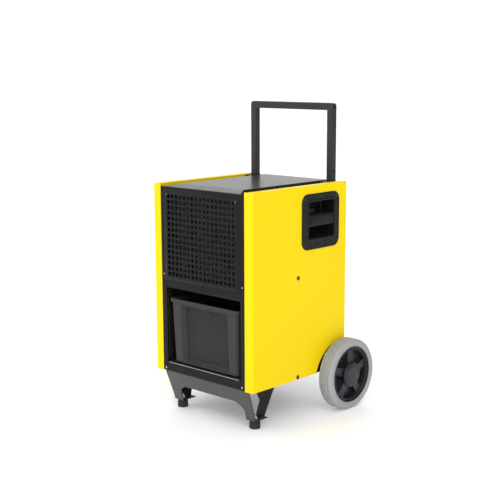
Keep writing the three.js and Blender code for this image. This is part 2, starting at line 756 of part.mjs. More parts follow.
/** Push handle: one bent rectangular tube, with a lug at each foot that reaches the pivot. */
function handle() {
  const { halfW, tubeW, tubeD, y, bottom, top, r } = HANDLE;
  const innerX = halfW - tubeW;
  const barT = 21;
  const loop = new THREE.Shape();
  loop.moveTo(halfW, bottom);
  loop.lineTo(halfW, top - r);
  loop.absarc(halfW - r, top - r, r, 0, Math.PI / 2, false);
  loop.lineTo(-halfW + r, top);
  loop.absarc(-halfW + r, top - r, r, Math.PI / 2, Math.PI, false);
  loop.lineTo(-halfW, bottom);
  loop.lineTo(-innerX, bottom);
  loop.lineTo(-innerX, top - barT);
  loop.lineTo(innerX, top - barT);
  loop.lineTo(innerX, bottom);

  const lugR = 8.6;
  const lugShape = new THREE.Shape();
  lugShape.moveTo(y + 2, PIVOT.z + lugR);
  lugShape.lineTo(PIVOT.y, PIVOT.z + lugR);
  lugShape.absarc(PIVOT.y, PIVOT.z, lugR, Math.PI / 2, Math.PI * 1.5, false);
  lugShape.lineTo(y + 2, PIVOT.z - 7);
  const lug = alongX(lugShape, innerX, halfW, 6);
  const bore = alongX(disc(PIVOT.y, PIVOT.z, PIVOT.pinR + 0.4), -180, 180);
  return cut(join(alongY(loop, y, y + tubeD), lug, mirrored(lug)), bore);
}

// ---------------------------------------------------------------- wheels (about the local X axis)

/** Grey tyre with rounded shoulders and a groove round the tread. */
function tyre() {
  const half = WHEEL_W / 2;
  const tread = WHEEL_R;
  const groove = tread - 1.4;
  return turned([
    [RIM_R, -half + 2], [RIM_R + 9, -half], [tread - 5, -half + 1.5], [tread, -half + 6],
    [tread, -1.6], [groove, -1], [groove, 1], [tread, 1.6],
    [tread, half - 6], [tread - 5, half - 1.5], [RIM_R + 9, half], [RIM_R, half - 2],
    [RIM_R, -half + 2],
  ], 'x', 32);
}

/** Moulded rim: outer ring with a stepped lip, closed web, hub and five broad spokes. */
function rim() {
  const outer = RIM_R - GAP;
  const ring = turned([[73, -12], [78, -21], [outer, -21], [outer, 21], [80, 21], [78, 17],
    [73, 14], [73, -12]], 'x', 32);
  const hub = rod(24, -22.5, 19, 'x', 20);
  const web = rod(76, -4, -1, 'x', 32);
  const spokes = [0, 1, 2, 3, 4].map((i) => {
    const geometry = new THREE.BoxGeometry(17, 24, 62);
    return solid(geometry.translate(5.5, 0, 46).rotateX((i * 2 * Math.PI) / 5));
  });
  const bore = rod(AXLE_R + GAP, -26, 26, 'x', 24);
  return cut(join(ring, hub, web, ...spokes), bore);
}
const hubCap = () =>
  turned([[0, 20], [38, 20], [38, 22], [35, 24.4], [30, 25.2], [0, 25.2]], 'x', 24);

// ---------------------------------------------------------------- water tank

/** Open tapered tank with a rolled rim, two raised front ribs and the float's guide rod. */
function tank() {
  const { top, bottom, topHalfW, bottomHalfW, wall } = TANK;
  const corner = 0.12;
  const outer = taperedBox(
    { halfW: bottomHalfW, y0: TANK_FRONT.bottom, y1: TANK_BACK.bottom, z: bottom },
    { halfW: topHalfW, y0: TANK_FRONT.top, y1: TANK_BACK.top, z: top },
    corner,
  );
  const inner = taperedBox(
    {
      halfW: bottomHalfW - wall,
      y0: TANK_FRONT.bottom + wall,
      y1: TANK_BACK.bottom - wall,
      z: bottom + wall,
    },
    { halfW: topHalfW - wall, y0: TANK_FRONT.top + wall, y1: TANK_BACK.top - wall, z: top + 1 },
    corner,
  );
  const rim = alongZ(
    roundedRectangle(-139.5, 139.5, 2.4, TANK_BACK.top + 5, 9), top - 10, top,
  );
  const ribProfile = polygon([
    [TANK_FRONT.top - 4, top - 5], [TANK_FRONT.top + 1, top - 5],
    [TANK_FRONT.bottom + 1, bottom], [TANK_FRONT.bottom - 4, bottom],
  ]);
  const rib = alongX(ribProfile, 92, 122);
  const guide = rod(FLOAT.rodR, bottom + 1, top - 12, 'z', 12).translate(FLOAT.x, FLOAT.y, 0);
  return join(cut(join(outer, rim, rib, mirrored(rib)), inner), guide);
}

/** Foam float that rides up the guide rod as the tank fills. */
function tankFloat() {
  const { r, rodR } = FLOAT;
  const bore = rodR + 0.8;
  const base = TANK.bottom + TANK.wall + GAP;
  return turned([[bore, base], [r, base], [r, base + 16], [bore, base + 16], [bore, base]],
    'z', 24);
}

// ---------------------------------------------------------------- assembly

function wheel(side, name) {
  const place = side > 0 ? (body) => body : mirrored;
  return group(
    [side * WHEEL_X, WHEEL_Y, WHEEL_Z],
    piece(`tyre_${name}`, place(tyre()), tyreRubber),
    piece(`rim_${name}`, place(rim()), blackPlastic),
    piece(`hub_cap_${name}`, place(hubCap()), blackPlastic),
  );
}

function sidePieces(side, name) {
  const place = side > 0 ? (body) => body : mirrored;
  const { y, middleZ, lowZ } = PANEL_SCREWS;
  const screwX = side * CABINET_HALF_W;
  return group(
    [0, 0, 0],
    piece(`side_panel_${name}`, place(sidePanel()), yellowPaint),
    piece(`grip_recess_${name}`, place(gripRecess()), blackPlastic),
    piece(`foot_${name}`, foot(), blackRubber, [side * FOOT.x, FOOT.y, 0]),
    piece(`handle_bracket_${name}`, place(handleBracket()), blackSteel),
    piece(`handle_pin_${name}`, place(handlePin()), brightSteel, [0, PIVOT.y, PIVOT.z]),
    piece(`panel_screw_middle_${name}`, place(panelScrew()), blackSteel, [screwX, y, middleZ]),
    piece(`panel_screw_low_${name}`, place(panelScrew()), blackSteel, [screwX, y, lowZ]),
    wheel(side, name),
  );
}

function chassis() {
  const axle = rod(AXLE_R, -WHEEL_X - 12, WHEEL_X + 12, 'x', 24);
  return group(
    [0, 0, 0],
    piece('roof_cover', roofCover(), greyBlackPaint),
    piece('front_bezel', frontBezel(), blackPaint),
    piece('intake_grille', intakeGrille(), blackPaint),
    piece('air_filter', airFilter(), filterMedia),
    piece('rear_cover', rearCover(), blackPaint),
    piece('outlet_grille', outletGrille(), blackPaint),
    piece('base_pan', basePan(), blackPaint),
    piece('leg_frame', legFrame(), greyBlackPaint),
    piece('axle_carrier', axleCarrier(), blackPaint),
    piece('axle', axle, brightSteel, [0, WHEEL_Y, WHEEL_Z]),
    piece('mid_shelf', midShelf(), blackPaint),
    piece('tank_bay_liner', tankBayLiner(), blackPaint),
    piece('bay_floor', bayFloor(), blackPaint),
    piece('bay_sill', baySill(), brightSteel),
  );
}

function coolingCircuit() {
  const compressorAt = [-40, 335, 0];
  const grommetPlaces = [[-80, 370], [0, 370], [-40, 291]];
  const grommets = grommetPlaces.map(([x, y], i) =>
    piece(`compressor_grommet_${i + 1}`, grommet(), blackRubber, [x, y, 0]));
  return group(
    [0, 0, 0],
    piece('evaporator', finnedCoil(30, 64), aluminium),
    piece('condenser', finnedCoil(84, 118), aluminium),
    piece('drip_tray', dripTray(), whitePlastic),
    piece('drain_spout', drainSpout(), blackRubber, [0, 120, 0]),
    piece('compressor', compressor(), blackSteel, compressorAt),
    piece('filter_drier', filterDrier(), copper, [-125, 310, 0]),
    piece('suction_pipe', suctionPipe(), copper),
    piece('discharge_pipe', dischargePipe(), copper),
    ...grommets,
  );
}

function fanUnit() {
  return group(
    [0, 0, 0],
    piece('fan_shroud', fanShroud(), blackPaint),
    piece('fan_motor', fanMotor(), blackSteel, [0, 0, FAN_Z]),
    piece('motor_bracket', motorBracket(), brightSteel, [0, 0, FAN_Z]),
    piece('fan_rotor', fanRotor(), blackPlastic, [0, 0, FAN_Z]),
  );
}

function controls() {
  const face = controlPlateY;
  return group(
    [0, 0, 0],
    piece('electrical_box', electricalBox(), whitePlastic),
    piece('run_capacitor', rod(17, 236.5, 300, 'z', 20), aluminium, [95, 330, 0]),
    piece('control_plate', controlPlate(), blackPaint),
    piece('humidistat_knob', humidistatKnob(), blackPlastic, [-42, face, 332]),
    piece('power_switch', powerSwitch(), blackPlastic, [9, face + 3, 332]),
    piece('hour_meter', hourMeter(), whitePlastic),
    piece('indicator_lens', indicatorLens(), greenLens, [46, face, 356]),
    piece('power_inlet', powerInlet(), blackPlastic, [110, face - 1.8, 250]),
  );
}

function waterTank() {
  return group(
    [0, 0, 0],
    piece('tank', tank(), tankPlastic),
    piece('tank_float', tankFloat(), whitePlastic, [FLOAT.x, FLOAT.y, 0]),
  );
}

// The machine's box runs from the raised grille surround to the back of the tyres.
const machine = group(
  [0, -(GRILLE_FRAME.frontY + WHEEL_Y + WHEEL_R) / 2, 0],
  sidePieces(1, 'right'),
  sidePieces(-1, 'left'),
  chassis(),
  coolingCircuit(),
  fanUnit(),
  controls(),
  waterTank(),
  piece('handle', handle(), blackPaint),
);

const dehumidifier = new THREE.Group();
dehumidifier.add(machine);

export default dehumidifier;
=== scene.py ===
"""Looks of a wheeled commercial dehumidifier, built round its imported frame.

New pieces are drawn in millimetres: x to the machine's right, y back from the cabinet's front face,
z up from the floor. add_piece() turns them into the row frame.
"""

import json
from math import cos, pi, radians, sin

import bmesh
import bpy
from mathutils import Matrix, Vector


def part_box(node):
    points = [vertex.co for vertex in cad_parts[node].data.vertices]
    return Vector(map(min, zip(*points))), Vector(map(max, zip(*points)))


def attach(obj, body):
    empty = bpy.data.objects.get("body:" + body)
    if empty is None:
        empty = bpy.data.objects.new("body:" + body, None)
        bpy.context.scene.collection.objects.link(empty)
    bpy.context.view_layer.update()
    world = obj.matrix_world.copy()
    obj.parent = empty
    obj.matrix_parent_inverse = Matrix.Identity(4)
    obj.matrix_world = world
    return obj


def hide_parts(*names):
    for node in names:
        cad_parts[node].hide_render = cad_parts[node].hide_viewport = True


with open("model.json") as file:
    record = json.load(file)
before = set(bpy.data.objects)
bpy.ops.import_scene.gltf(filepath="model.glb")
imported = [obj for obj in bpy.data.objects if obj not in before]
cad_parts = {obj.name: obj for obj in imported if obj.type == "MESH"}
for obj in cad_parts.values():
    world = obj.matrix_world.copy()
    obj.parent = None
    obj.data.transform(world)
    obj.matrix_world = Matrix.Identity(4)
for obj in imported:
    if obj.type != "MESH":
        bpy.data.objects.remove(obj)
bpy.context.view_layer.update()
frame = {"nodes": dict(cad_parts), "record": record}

scene = bpy.context.scene
record = frame["record"]
BODY = {node: body for body, nodes in record["behaviour"]["bodies"].items() for node in nodes}

MM = 0.001
CABINET_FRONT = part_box("side_panel_right")[0].y
TO_ROW = Matrix.Translation((0, CABINET_FRONT, 0)) @ Matrix.Scale(MM, 4)


def mm_box(node):
    """Lowest and highest corner of a CAD node, in the drawing's millimetres."""
    to_mm = TO_ROW.inverted()
    return [to_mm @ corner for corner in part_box(node)]


def middle_of(node):
    """Centre of a CAD node's box, in the drawing's millimetres."""
    return [(a + b) / 2 for a, b in zip(*mm_box(node))]


def new_object(name, data):
    obj = bpy.data.objects.new(name, data)
    scene.collection.objects.link(obj)
    return obj


# ---- materials
def add_node(tree, kind, **values):
    """A shader node with its properties and unlinked inputs set."""
    node = tree.nodes.new(kind)
    for key, value in values.items():
        if key in node.inputs:
            node.inputs[key].default_value = value
        else:
            setattr(node, key, value)
    return node


def feed(tree, socket, value):
    """Gives an input a value: another node's output, a linear colour or a number."""
    if isinstance(value, bpy.types.NodeSocket):
        tree.links.new(value, socket)
    else:
        socket.default_value = (*value, 1.0) if isinstance(value, tuple) else value


def noise(tree, coordinates, scale, detail=3.0, roughness=0.55):
    node = add_node(tree, "ShaderNodeTexNoise", Scale=scale, Detail=detail, Roughness=roughness)
    tree.links.new(coordinates, node.inputs["Vector"])
    return node.outputs["Fac"]


def remapped(tree, value, low, high, to_low, to_high):
    node = tree.nodes.new("ShaderNodeMapRange")
    for socket, given in zip(node.inputs, (value, low, high, to_low, to_high)):
        feed(tree, socket, given)
    return node.outputs[0]


def product(tree, first, second):
    node = add_node(tree, "ShaderNodeMath", operation="MULTIPLY", use_clamp=True)
    for socket, value in zip(node.inputs, (first, second)):
        feed(tree, socket, value)
    return node.outputs[0]


def mixed(tree, factor, first, second):
    """A colour between two, which are outputs or linear colours."""
    node = add_node(tree, "ShaderNodeMix", data_type="RGBA")
    for index, value in ((0, factor), (6, first), (7, second)):
        feed(tree, node.inputs[index], value)
    return node.outputs[2]


def edge_mask(tree, coordinates, radius, amount):
    """Worn edges: where a rounded normal leaves the true one, broken up by noise."""
    bevel = add_node(tree, "ShaderNodeBevel", samples=4, Radius=radius)
    geometry = tree.nodes.new("ShaderNodeNewGeometry")
    dot = add_node(tree, "ShaderNodeVectorMath", operation="DOT_PRODUCT")
    tree.links.new(bevel.outputs[0], dot.inputs[0])
    tree.links.new(geometry.outputs["Normal"], dot.inputs[1])
    edge = remapped(tree, dot.outputs["Value"], 0.995, 0.90, 0.0, 1.0)
    patches = remapped(tree, noise(tree, coordinates, 60.0, 5.0, 0.7), 0.42, 0.62, 0.0, 1.0)
    return product(tree, product(tree, edge, patches), amount)


def scaled(color, factor):
    return tuple(min(1.0, channel * factor) for channel in color)


def surface(name, color, rough, metallic=0.0, specular=0.5, mottle=0.08, rough_spread=0.07,
            grain=1400.0, grain_depth=0.00012, grain_strength=0.35, ripple=0.0, worn=None,
            wear_amount=0.5, stretch=(1.0, 1.0, 1.0), dust=0.0, coat=0.0):
    """A procedural finish: mottled colour, uneven roughness, surface grain and worn edges."""
    material = bpy.data.materials.new(name)
    material.use_nodes = True
    tree = material.node_tree
    shader = tree.nodes["Principled BSDF"]
    for socket, value in (("Metallic", metallic), ("Specular IOR Level", specular),
                          ("Coat Weight", coat), ("Coat Roughness", 0.12)):
        shader.inputs[socket].default_value = value
    material.diffuse_color = (*color, 1.0)

    plain = tree.nodes.new("ShaderNodeTexCoord").outputs["Object"]
    mapping = add_node(tree, "ShaderNodeMapping", Scale=stretch)
    tree.links.new(plain, mapping.inputs["Vector"])
    coordinates = mapping.outputs["Vector"]

    blotches = remapped(tree, noise(tree, plain, 7.0, 4.0), 0.3, 0.7, 0.0, 1.0)
    tint = mixed(tree, blotches, scaled(color, 1 - mottle), scaled(color, 1 + mottle))
    speckle = remapped(tree, noise(tree, coordinates, 420.0, 2.0), 0.35, 0.65, 0.0, 1.0)
    fine = mixed(tree, speckle, scaled(color, 1 - mottle), scaled(color, 1 + mottle))
    tint = mixed(tree, 0.4, tint, fine)
    if dust:
        settled = remapped(tree, noise(tree, plain, 26.0, 6.0, 0.65), 0.50, 0.78, 0.0, dust)
        tint = mixed(tree, settled, tint, (0.32, 0.31, 0.29))
    rough_value = remapped(tree, noise(tree, coordinates, 34.0, 5.0), 0.3, 0.7,
                           rough - rough_spread, rough + rough_spread)
    if worn:
        mask = edge_mask(tree, plain, 0.0011, wear_amount)
        tint = mixed(tree, mask, tint, worn)
    tree.links.new(tint, shader.inputs["Base Color"])
    tree.links.new(rough_value, shader.inputs["Roughness"])

    grain_height = noise(tree, coordinates, grain, 2.0)
    bump = add_node(tree, "ShaderNodeBump", Strength=grain_strength, Distance=grain_depth)
    tree.links.new(grain_height, bump.inputs["Height"])
    if ripple:
        wave = add_node(tree, "ShaderNodeBump", Strength=0.5, Distance=ripple)
        tree.links.new(noise(tree, plain, 90.0, 2.0), wave.inputs["Height"])
        tree.links.new(wave.outputs[0], bump.inputs["Normal"])
    tree.links.new(bump.outputs[0], shader.inputs["Normal"])
    return material


YELLOW = surface(
    "powder_coat_yellow", (0.95, 0.70, 0.004), 0.42, specular=0.1, mottle=0.012, rough_spread=0.04,
    grain=900.0, grain_depth=0.00005, ripple=0.00004, worn=(0.80, 0.60, 0.16), wear_amount=0.3)
SPRAYED = {"grain": 1100.0, "grain_depth": 0.0001, "ripple": 0.00003}
BLACK = surface(
    "powder_coat_black", (0.0095, 0.0095, 0.010), 0.42, specular=0.13, mottle=0.18, worn=(0.12, 0.12, 0.125),
    **SPRAYED)
ROOF = surface(
    "powder_coat_roof", (0.026, 0.026, 0.027), 0.28, specular=0.33, rough_spread=0.025, grain=1000.0,
    grain_depth=0.00002, ripple=0.00002, worn=(0.30, 0.30, 0.30), wear_amount=0.6)
FRAME_GREY = surface(
    "powder_coat_frame", (0.072, 0.072, 0.073), 0.42, specular=0.3, mottle=0.12, worn=(0.20, 0.20, 0.20),
    **SPRAYED)
HANDLE_PAINT = surface(
    "powder_coat_handle", (0.026, 0.026, 0.0265), 0.40, specular=0.3, mottle=0.15, worn=(0.17, 0.17, 0.17),
    **SPRAYED)
INNER_BLACK = surface(
    "painted_sheet_inside", (0.008, 0.008, 0.009), 0.55, mottle=0.2, grain=900.0, grain_depth=0.0001,
    dust=0.05)
TANK = surface(
    "moulded_tank", (0.036, 0.0365, 0.037), 0.40, specular=0.22, mottle=0.12, rough_spread=0.06, grain=1900.0,
    grain_depth=0.0001, grain_strength=0.4, worn=(0.09, 0.09, 0.09), wear_amount=0.35)
TANK_MATTE = surface(
    "moulded_tank_recess", (0.021, 0.0212, 0.0215), 0.52, specular=0.2, mottle=0.12, grain=1100.0,
    grain_depth=0.00022, grain_strength=0.6)
PLASTIC = surface(
    "moulded_black", (0.0075, 0.0078, 0.009), 0.46, specular=0.2, mottle=0.15, grain=1600.0,
    grain_depth=0.00016, grain_strength=0.5, worn=(0.07, 0.07, 0.075), wear_amount=0.4)
RIM = surface(
    "moulded_rim", (0.018, 0.0195, 0.024), 0.38, specular=0.35, mottle=0.15, grain=1500.0, grain_depth=0.0001,
    grain_strength=0.4, worn=(0.09, 0.095, 0.11), wear_amount=0.4)
TYRE = surface(
    "tyre_grey", (0.355, 0.362, 0.373), 0.62, specular=0.3, mottle=0.07, rough_spread=0.1, grain=700.0,
    grain_depth=0.0002, grain_strength=0.5, worn=(0.30, 0.30, 0.30), wear_amount=0.3)
RUBBER = surface(
    "rubber_black", (0.012, 0.012, 0.012), 0.66, mottle=0.2, grain=900.0, grain_depth=0.0002,
    grain_strength=0.5, dust=0.08)
ZINC = surface(
    "zinc_plate", (0.55, 0.555, 0.56), 0.30, metallic=1.0, mottle=0.12, rough_spread=0.1, grain=1500.0,
    grain_depth=0.00005)
SILL = surface(
    "brushed_edge", (0.62, 0.62, 0.63), 0.30, metallic=1.0, mottle=0.15, rough_spread=0.12, grain=900.0,
    grain_depth=0.00008, stretch=(0.05, 1.0, 1.0))
DARK_STEEL = surface(
    "black_oxide", (0.016, 0.016, 0.017), 0.36, specular=0.6, mottle=0.25, grain=900.0, grain_depth=0.00012,
    worn=(0.28, 0.28, 0.29))
FIN = surface(
    "aluminium_fin", (0.50, 0.51, 0.52), 0.42, metallic=0.9, mottle=0.15, grain=500.0, grain_depth=0.0001,
    dust=0.18)
CAN = surface(
    "aluminium_can", (0.60, 0.61, 0.62), 0.30, metallic=1.0, mottle=0.1, grain=900.0, grain_depth=0.00006,
    stretch=(1.0, 1.0, 0.06))
COPPER = surface(
    "copper_tube", (0.62, 0.27, 0.13), 0.34, metallic=1.0, mottle=0.3, rough_spread=0.14, grain=700.0,
    grain_depth=0.00006)
MEDIA = surface(
    "filter_mesh", (0.02, 0.021, 0.022), 0.8, mottle=0.3, grain=900.0, grain_depth=0.0003, dust=0.2)
WHITE = surface(
    "moulded_white", (0.62, 0.62, 0.58), 0.45, mottle=0.05, grain=1500.0, grain_depth=0.0001,
    worn=(0.45, 0.44, 0.40), wear_amount=0.3)
MARKING = surface("printed_white", (0.75, 0.75, 0.73), 0.5, mottle=0.06, grain=1200.0, grain_depth=0.00004)
LENS = surface(
    "pilot_lens", (0.03, 0.42, 0.10), 0.12, specular=0.6, mottle=0.2, rough_spread=0.04, grain=700.0,
    grain_depth=0.0001, coat=0.6)
METER_GLASS = surface(
    "meter_window", (0.05, 0.052, 0.055), 0.12, specular=0.6, mottle=0.2, rough_spread=0.04, grain=500.0,
    grain_depth=0.00004, coat=0.5)


# ---- mesh tools
WELD = 0.002  # points closer than this, in millimetres, are one point
SHARP_EDGE = 32.0  # degrees


def add_piece(name, bm, material, like, stands_for=(), smooth=38.0):
    """Makes a piece of the object from a drawing in millimetres. like is the CAD node whose body it rides on;
    stands_for are the nodes it replaces."""
    bmesh.ops.remove_doubles(bm, verts=bm.verts, dist=WELD)
    bmesh.ops.recalc_face_normals(bm, faces=bm.faces)
    bm.transform(TO_ROW)
    mesh = bpy.data.meshes.new(name)
    bm.to_mesh(mesh)
    bm.free()
    mesh.materials.append(material)
    mesh.polygons.foreach_set("use_smooth", [True] * len(mesh.polygons))
    mesh.set_sharp_from_angle(angle=radians(smooth))
    obj = new_object(name, mesh)
    modifier = obj.modifiers.new("face_weighted_normals", "WEIGHTED_NORMAL")
    modifier.keep_sharp = True
    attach(obj, BODY[like])
    if stands_for:
        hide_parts(*stands_for)
    return obj


def mirrored_copy(bm):
    """The same drawing for the machine's left side."""
    other = bm.copy()
    bmesh.ops.scale(other, vec=(-1, 1, 1), verts=other.verts)
    bmesh.ops.reverse_faces(other, faces=other.faces)
    return other


def add_pair(name, bm, material, like, replaced=True, **options):
    """The piece on the right and its mirror image on the left."""
    left = mirrored_copy(bm)
    for side, drawing in (("right", bm), ("left", left)):
        node = f"{like}_{side}"
        stands_for = (node,) if replaced else ()
        add_piece(f"{name}_{side}", drawing, material, node, stands_for, **options)


def refined(node, material, width=0.5, segments=2, smooth=38.0):
    """A CAD node's own shape, cleaned to whole faces and given rounded edges."""
    bm = bmesh.new()
    bm.from_mesh(frame["nodes"][node].data)
    bm.transform(TO_ROW.inverted())
    bmesh.ops.remove_doubles(bm, verts=bm.verts, dist=0.01)
    bmesh.ops.dissolve_limit(bm, angle_limit=radians(0.8), verts=bm.verts, edges=bm.edges)
    if width:
        sharp = [e for e in bm.edges
                 if len(e.link_faces) == 2 and e.calc_face_angle() > radians(SHARP_EDGE)]
        bmesh.ops.bevel(bm, geom=sharp, offset=width, offset_type="OFFSET", segments=segments,
                        profile=0.5, affect="EDGES", clamp_overlap=False)
    return add_piece(f"{node}_shape", bm, material, node, (node,), smooth=smooth)


def lathe(bm, profile, segments, axis="x", centre=(0, 0, 0), closed=False, ripple=None):
    """Revolves [radius, height] points about an axis through centre. A closed profile is a ring.
    ripple(angle, radius, height) may change a point's radius."""
    frames = {
        "x": Matrix(((0, 0, 1), (1, 0, 0), (0, 1, 0))),
        "y": Matrix(((1, 0, 0), (0, 0, 1), (0, 1, 0))),
        "z": Matrix.Identity(3),
    }
    turn, origin = frames[axis], Vector(centre)
    rings = []
    for radius, height in profile:
        if radius < 1e-6:
            rings.append([bm.verts.new(origin + turn @ Vector((0, 0, height)))])
            continue
        ring = []
        for i in range(segments):
            a = 2 * pi * i / segments
            r = ripple(a, radius, height) if ripple else radius
            ring.append(bm.verts.new(
                origin + turn @ Vector((r * cos(a), r * sin(a), height))))
        rings.append(ring)
    pairs = list(zip(rings, rings[1:]))
    if closed:
        pairs.append((rings[-1], rings[0]))
    for first, second in pairs:
        bridge(bm, first, second)
    if not closed:
        for ring in (rings[0], rings[-1]):
            if len(ring) > 1:
                bm.faces.new(ring)
    return bm


def bridge(bm, first, second):
    """Faces between two rings of vertices, where either may be a single point."""
    count = max(len(first), len(second))
    for i in range(count):
        j = (i + 1) % count
        corners = []
        for v in (first[i % len(first)], first[j % len(first)],
                  second[j % len(second)], second[i % len(second)]):
            if v not in corners:
                corners.append(v)
        bm.faces.new(corners)


def loft(bm, loops, cap_start=True, cap_end=True):
    """Skins a list of point loops of equal length."""
    rings = [[bm.verts.new(p) for p in loop] for loop in loops]
    for first, second in zip(rings, rings[1:]):
        bridge(bm, first, second)
    if cap_start:
        bm.faces.new(rings[0])
    if cap_end:
        bm.faces.new(rings[-1])
    return bm


def rounded_loop(u0, u1, v0, v1, r, n=6):
    """Points round a rectangle with rounded corners, n + 1 to a corner."""
    r = min(r, (u1 - u0) / 2 - 0.01, (v1 - v0) / 2 - 0.01)
    corners = ((u1 - r, v0 + r, -90), (u1 - r, v1 - r, 0), (u0 + r, v1 - r, 90), (u0 + r, v0 + r, 180))
    points = []
    for cu, cv, start in corners:
        for i in range(n + 1):
            a = radians(start + 90 * i / n)
            points.append((cu + r * cos(a), cv + r * sin(a)))
    return points


def rounded_box(bm, low, high, r, segments=3, turn=None, about=None):
    """A box with rounded edges."""
    size = [b - a for a, b in zip(low, high)]
    middle = Vector([(a + b) / 2 for a, b in zip(low, high)])
    made = bmesh.ops.create_cube(bm, size=1.0)["verts"]
    for v in made:
        v.co = Vector((v.co.x * size[0], v.co.y * size[1], v.co.z * size[2]))
    edges = list({e for v in made for e in v.link_edges})
    result = bmesh.ops.bevel(bm, geom=edges, offset=r, segments=segments, profile=0.5,
                             affect="EDGES", clamp_overlap=True)
    verts = list({v for f in result["faces"] for v in f.verts} | {v for v in made if v.is_valid})
    seen = set(verts)
    verts += [v for f in {f for v in verts for f in v.link_faces} for v in f.verts
              if not (v in seen or seen.add(v))]
    if turn is not None:
        for v in verts:
            v.co = turn @ v.co
    for v in verts:
        v.co += middle if about is None else Vector(about)
    return verts


def flat_sided(angle, sides, radius):
    """How far out a regular polygon with this corner radius reaches at an angle."""
    sector = 2 * pi / sides
    local = (angle % sector) - sector / 2
    return radius * cos(sector / 2) / cos(local)


def screw_head(bm, at, axis, r, sign=1.0, height=0.42):
    """Pan head with a six-sided socket. sign turns the head to face the other way."""
    inner = 0.42 * r

    def socket(angle, radius, _):
        return radius if radius > inner + 1e-6 else flat_sided(angle, 6, radius)
    profile = [(0.0, sign * (height * r - 0.9 * inner)), (inner, sign * (height * r - 0.9 * inner)),
               (inner, sign * height * r * 0.97), (0.62 * r, sign * height * r),
               (0.86 * r, sign * height * r * 0.8), (r, sign * height * r * 0.35),
               (r, sign * -0.3), (0.0, sign * -0.3)]
    lathe(bm, profile, 24, axis, at, ripple=socket)


# ---- cabinet
# Windows of the front frame: half width, lower edge, upper edge.
GRILLE_WINDOW = (139.0, 411.0, 660.0)
BAY_WINDOW = (149.5, 152.0, 380.0)
# Raised surround of the grille: its outer fold line, and the foot of the bevel at its window.
SURROUND = (155.0, 403.0, 672.0)
SURROUND_BEVEL = (139.9, 411.45, 660.65)
# Places of the surround's front and of the frame's face, from the cabinet's front face.
SURROUND_Y = -4.0
BEZEL_FACE_Y = 0.8
# Bezel screws on the right: across, up and radius.
SURROUND_SCREW = (137.0, 655.5, 1.6)
FACE_SCREWS = ((157.5, 419.5, 2.3), (155.5, 134.0, 2.8))


def paint_faces(obj, material, chosen):
    """A second material on the faces that pass the test; on the leg frame it is painted shade on the side-
    and back-facing faces.
    """
    obj.data.materials.append(material)
    for polygon in obj.data.polygons:
        if chosen(polygon):
            polygon.material_index = 1


def cabinet_shells():
    for side in ("right", "left"):
        refined(f"side_panel_{side}", YELLOW, 0.6, 2)
        refined(f"handle_bracket_{side}", DARK_STEEL, 0.35)
        refined(f"handle_pin_{side}", ZINC, 0.5)
    refined("roof_cover", ROOF, 0.7, 3)
    legs = refined("leg_frame", FRAME_GREY, 0.7, 3)
    # Painted shade: the leg frame's side- and back-facing faces take the black paint, darker than its grey
    # front faces.
    paint_faces(legs, BLACK, lambda face: abs(face.normal.x) > 0.7 or face.normal.y > 0.5)
    for node in ("base_pan", "axle_carrier"):
        refined(node, BLACK)
    for node in ("mid_shelf", "tank_bay_liner", "bay_floor"):
        refined(node, INNER_BLACK, 0.3)
    refined("bay_sill", SILL, 0.25)
    refined("rear_cover", BLACK, 0.4)
    refined("axle", ZINC, 1.2, 3)


def front_bezel():
    """Frame with two windows, their edges chamfered and mitred, and folded side returns."""
    low, high = mm_box("front_bezel")
    face_y, back_y, outer = BEZEL_FACE_Y, BEZEL_FACE_Y + 2.0, high.x
    bm = bmesh.new()

    def ring(half_w, z0, z1, grow, y):
        return [bm.verts.new(p) for p in (
            (-half_w - grow, y, z0 - grow), (half_w + grow, y, z0 - grow),
            (half_w + grow, y, z1 + grow), (-half_w - grow, y, z1 + grow))]

    def band(*sections):
        """Mitred band round a rectangle; returns its first loop of edges."""
        rings = [ring(*section) for section in sections]
        for first, second in zip(rings, rings[1:]):
            bridge(bm, first, second)
        return [bm.edges.get((rings[0][i], rings[0][(i + 1) % 4])) for i in range(4)]

    def window(half_w, z0, z1, width, depth):
        return band((half_w, z0, z1, width, face_y), (half_w, z0, z1, width - 0.5, face_y + 0.15),
                    (half_w, z0, z1, 0.6, face_y + depth - 0.2), (half_w, z0, z1, 0.0, face_y + depth),
                    (half_w, z0, z1, 0.0, face_y + depth + 0.7))
    edges = window(*BAY_WINDOW, 6.2, 1.9)
    edges += band((*SURROUND, 0.5, face_y), (*SURROUND, -0.6, face_y - 0.18),
                  (*SURROUND_BEVEL, 0.0, SURROUND_Y + 0.25), (*GRILLE_WINDOW, 0.35, SURROUND_Y),
                  (*GRILLE_WINDOW, 0.0, SURROUND_Y + 0.2), (*GRILLE_WINDOW, 0.0, SURROUND_Y + 2.0))
    edges += band((outer, low.z, high.z, -0.7, face_y), (outer, low.z, high.z, -0.25, face_y + 0.12),
                  (outer, low.z, high.z, 0.0, face_y + 0.5), (outer, low.z, high.z, 0.0, back_y),
                  (outer, low.z, high.z, -2.0, back_y))
    bmesh.ops.triangle_fill(bm, edges=edges, use_beauty=True, use_dissolve=True)
    for side in (-1, 1):
        x0, x1 = sorted((side * outer, side * (outer - 2)))
        rounded_box(bm, (x0, back_y - 0.3, BAY_WINDOW[1]), (x1, high.y, GRILLE_WINDOW[2] - 4), 0.4, 2)
    add_piece("front_bezel_frame", bm, BLACK, "front_bezel", ("front_bezel",), smooth=30)

    screws = bmesh.new()
    for y, (x, z, r) in ((SURROUND_Y, SURROUND_SCREW), *((face_y, screw) for screw in FACE_SCREWS)):
        for side in (1, -1):
            screw_head(screws, (side * x, y, z), "y", r, -1.0)
    add_piece("front_bezel_screws", screws, ZINC, "front_bezel", smooth=40)


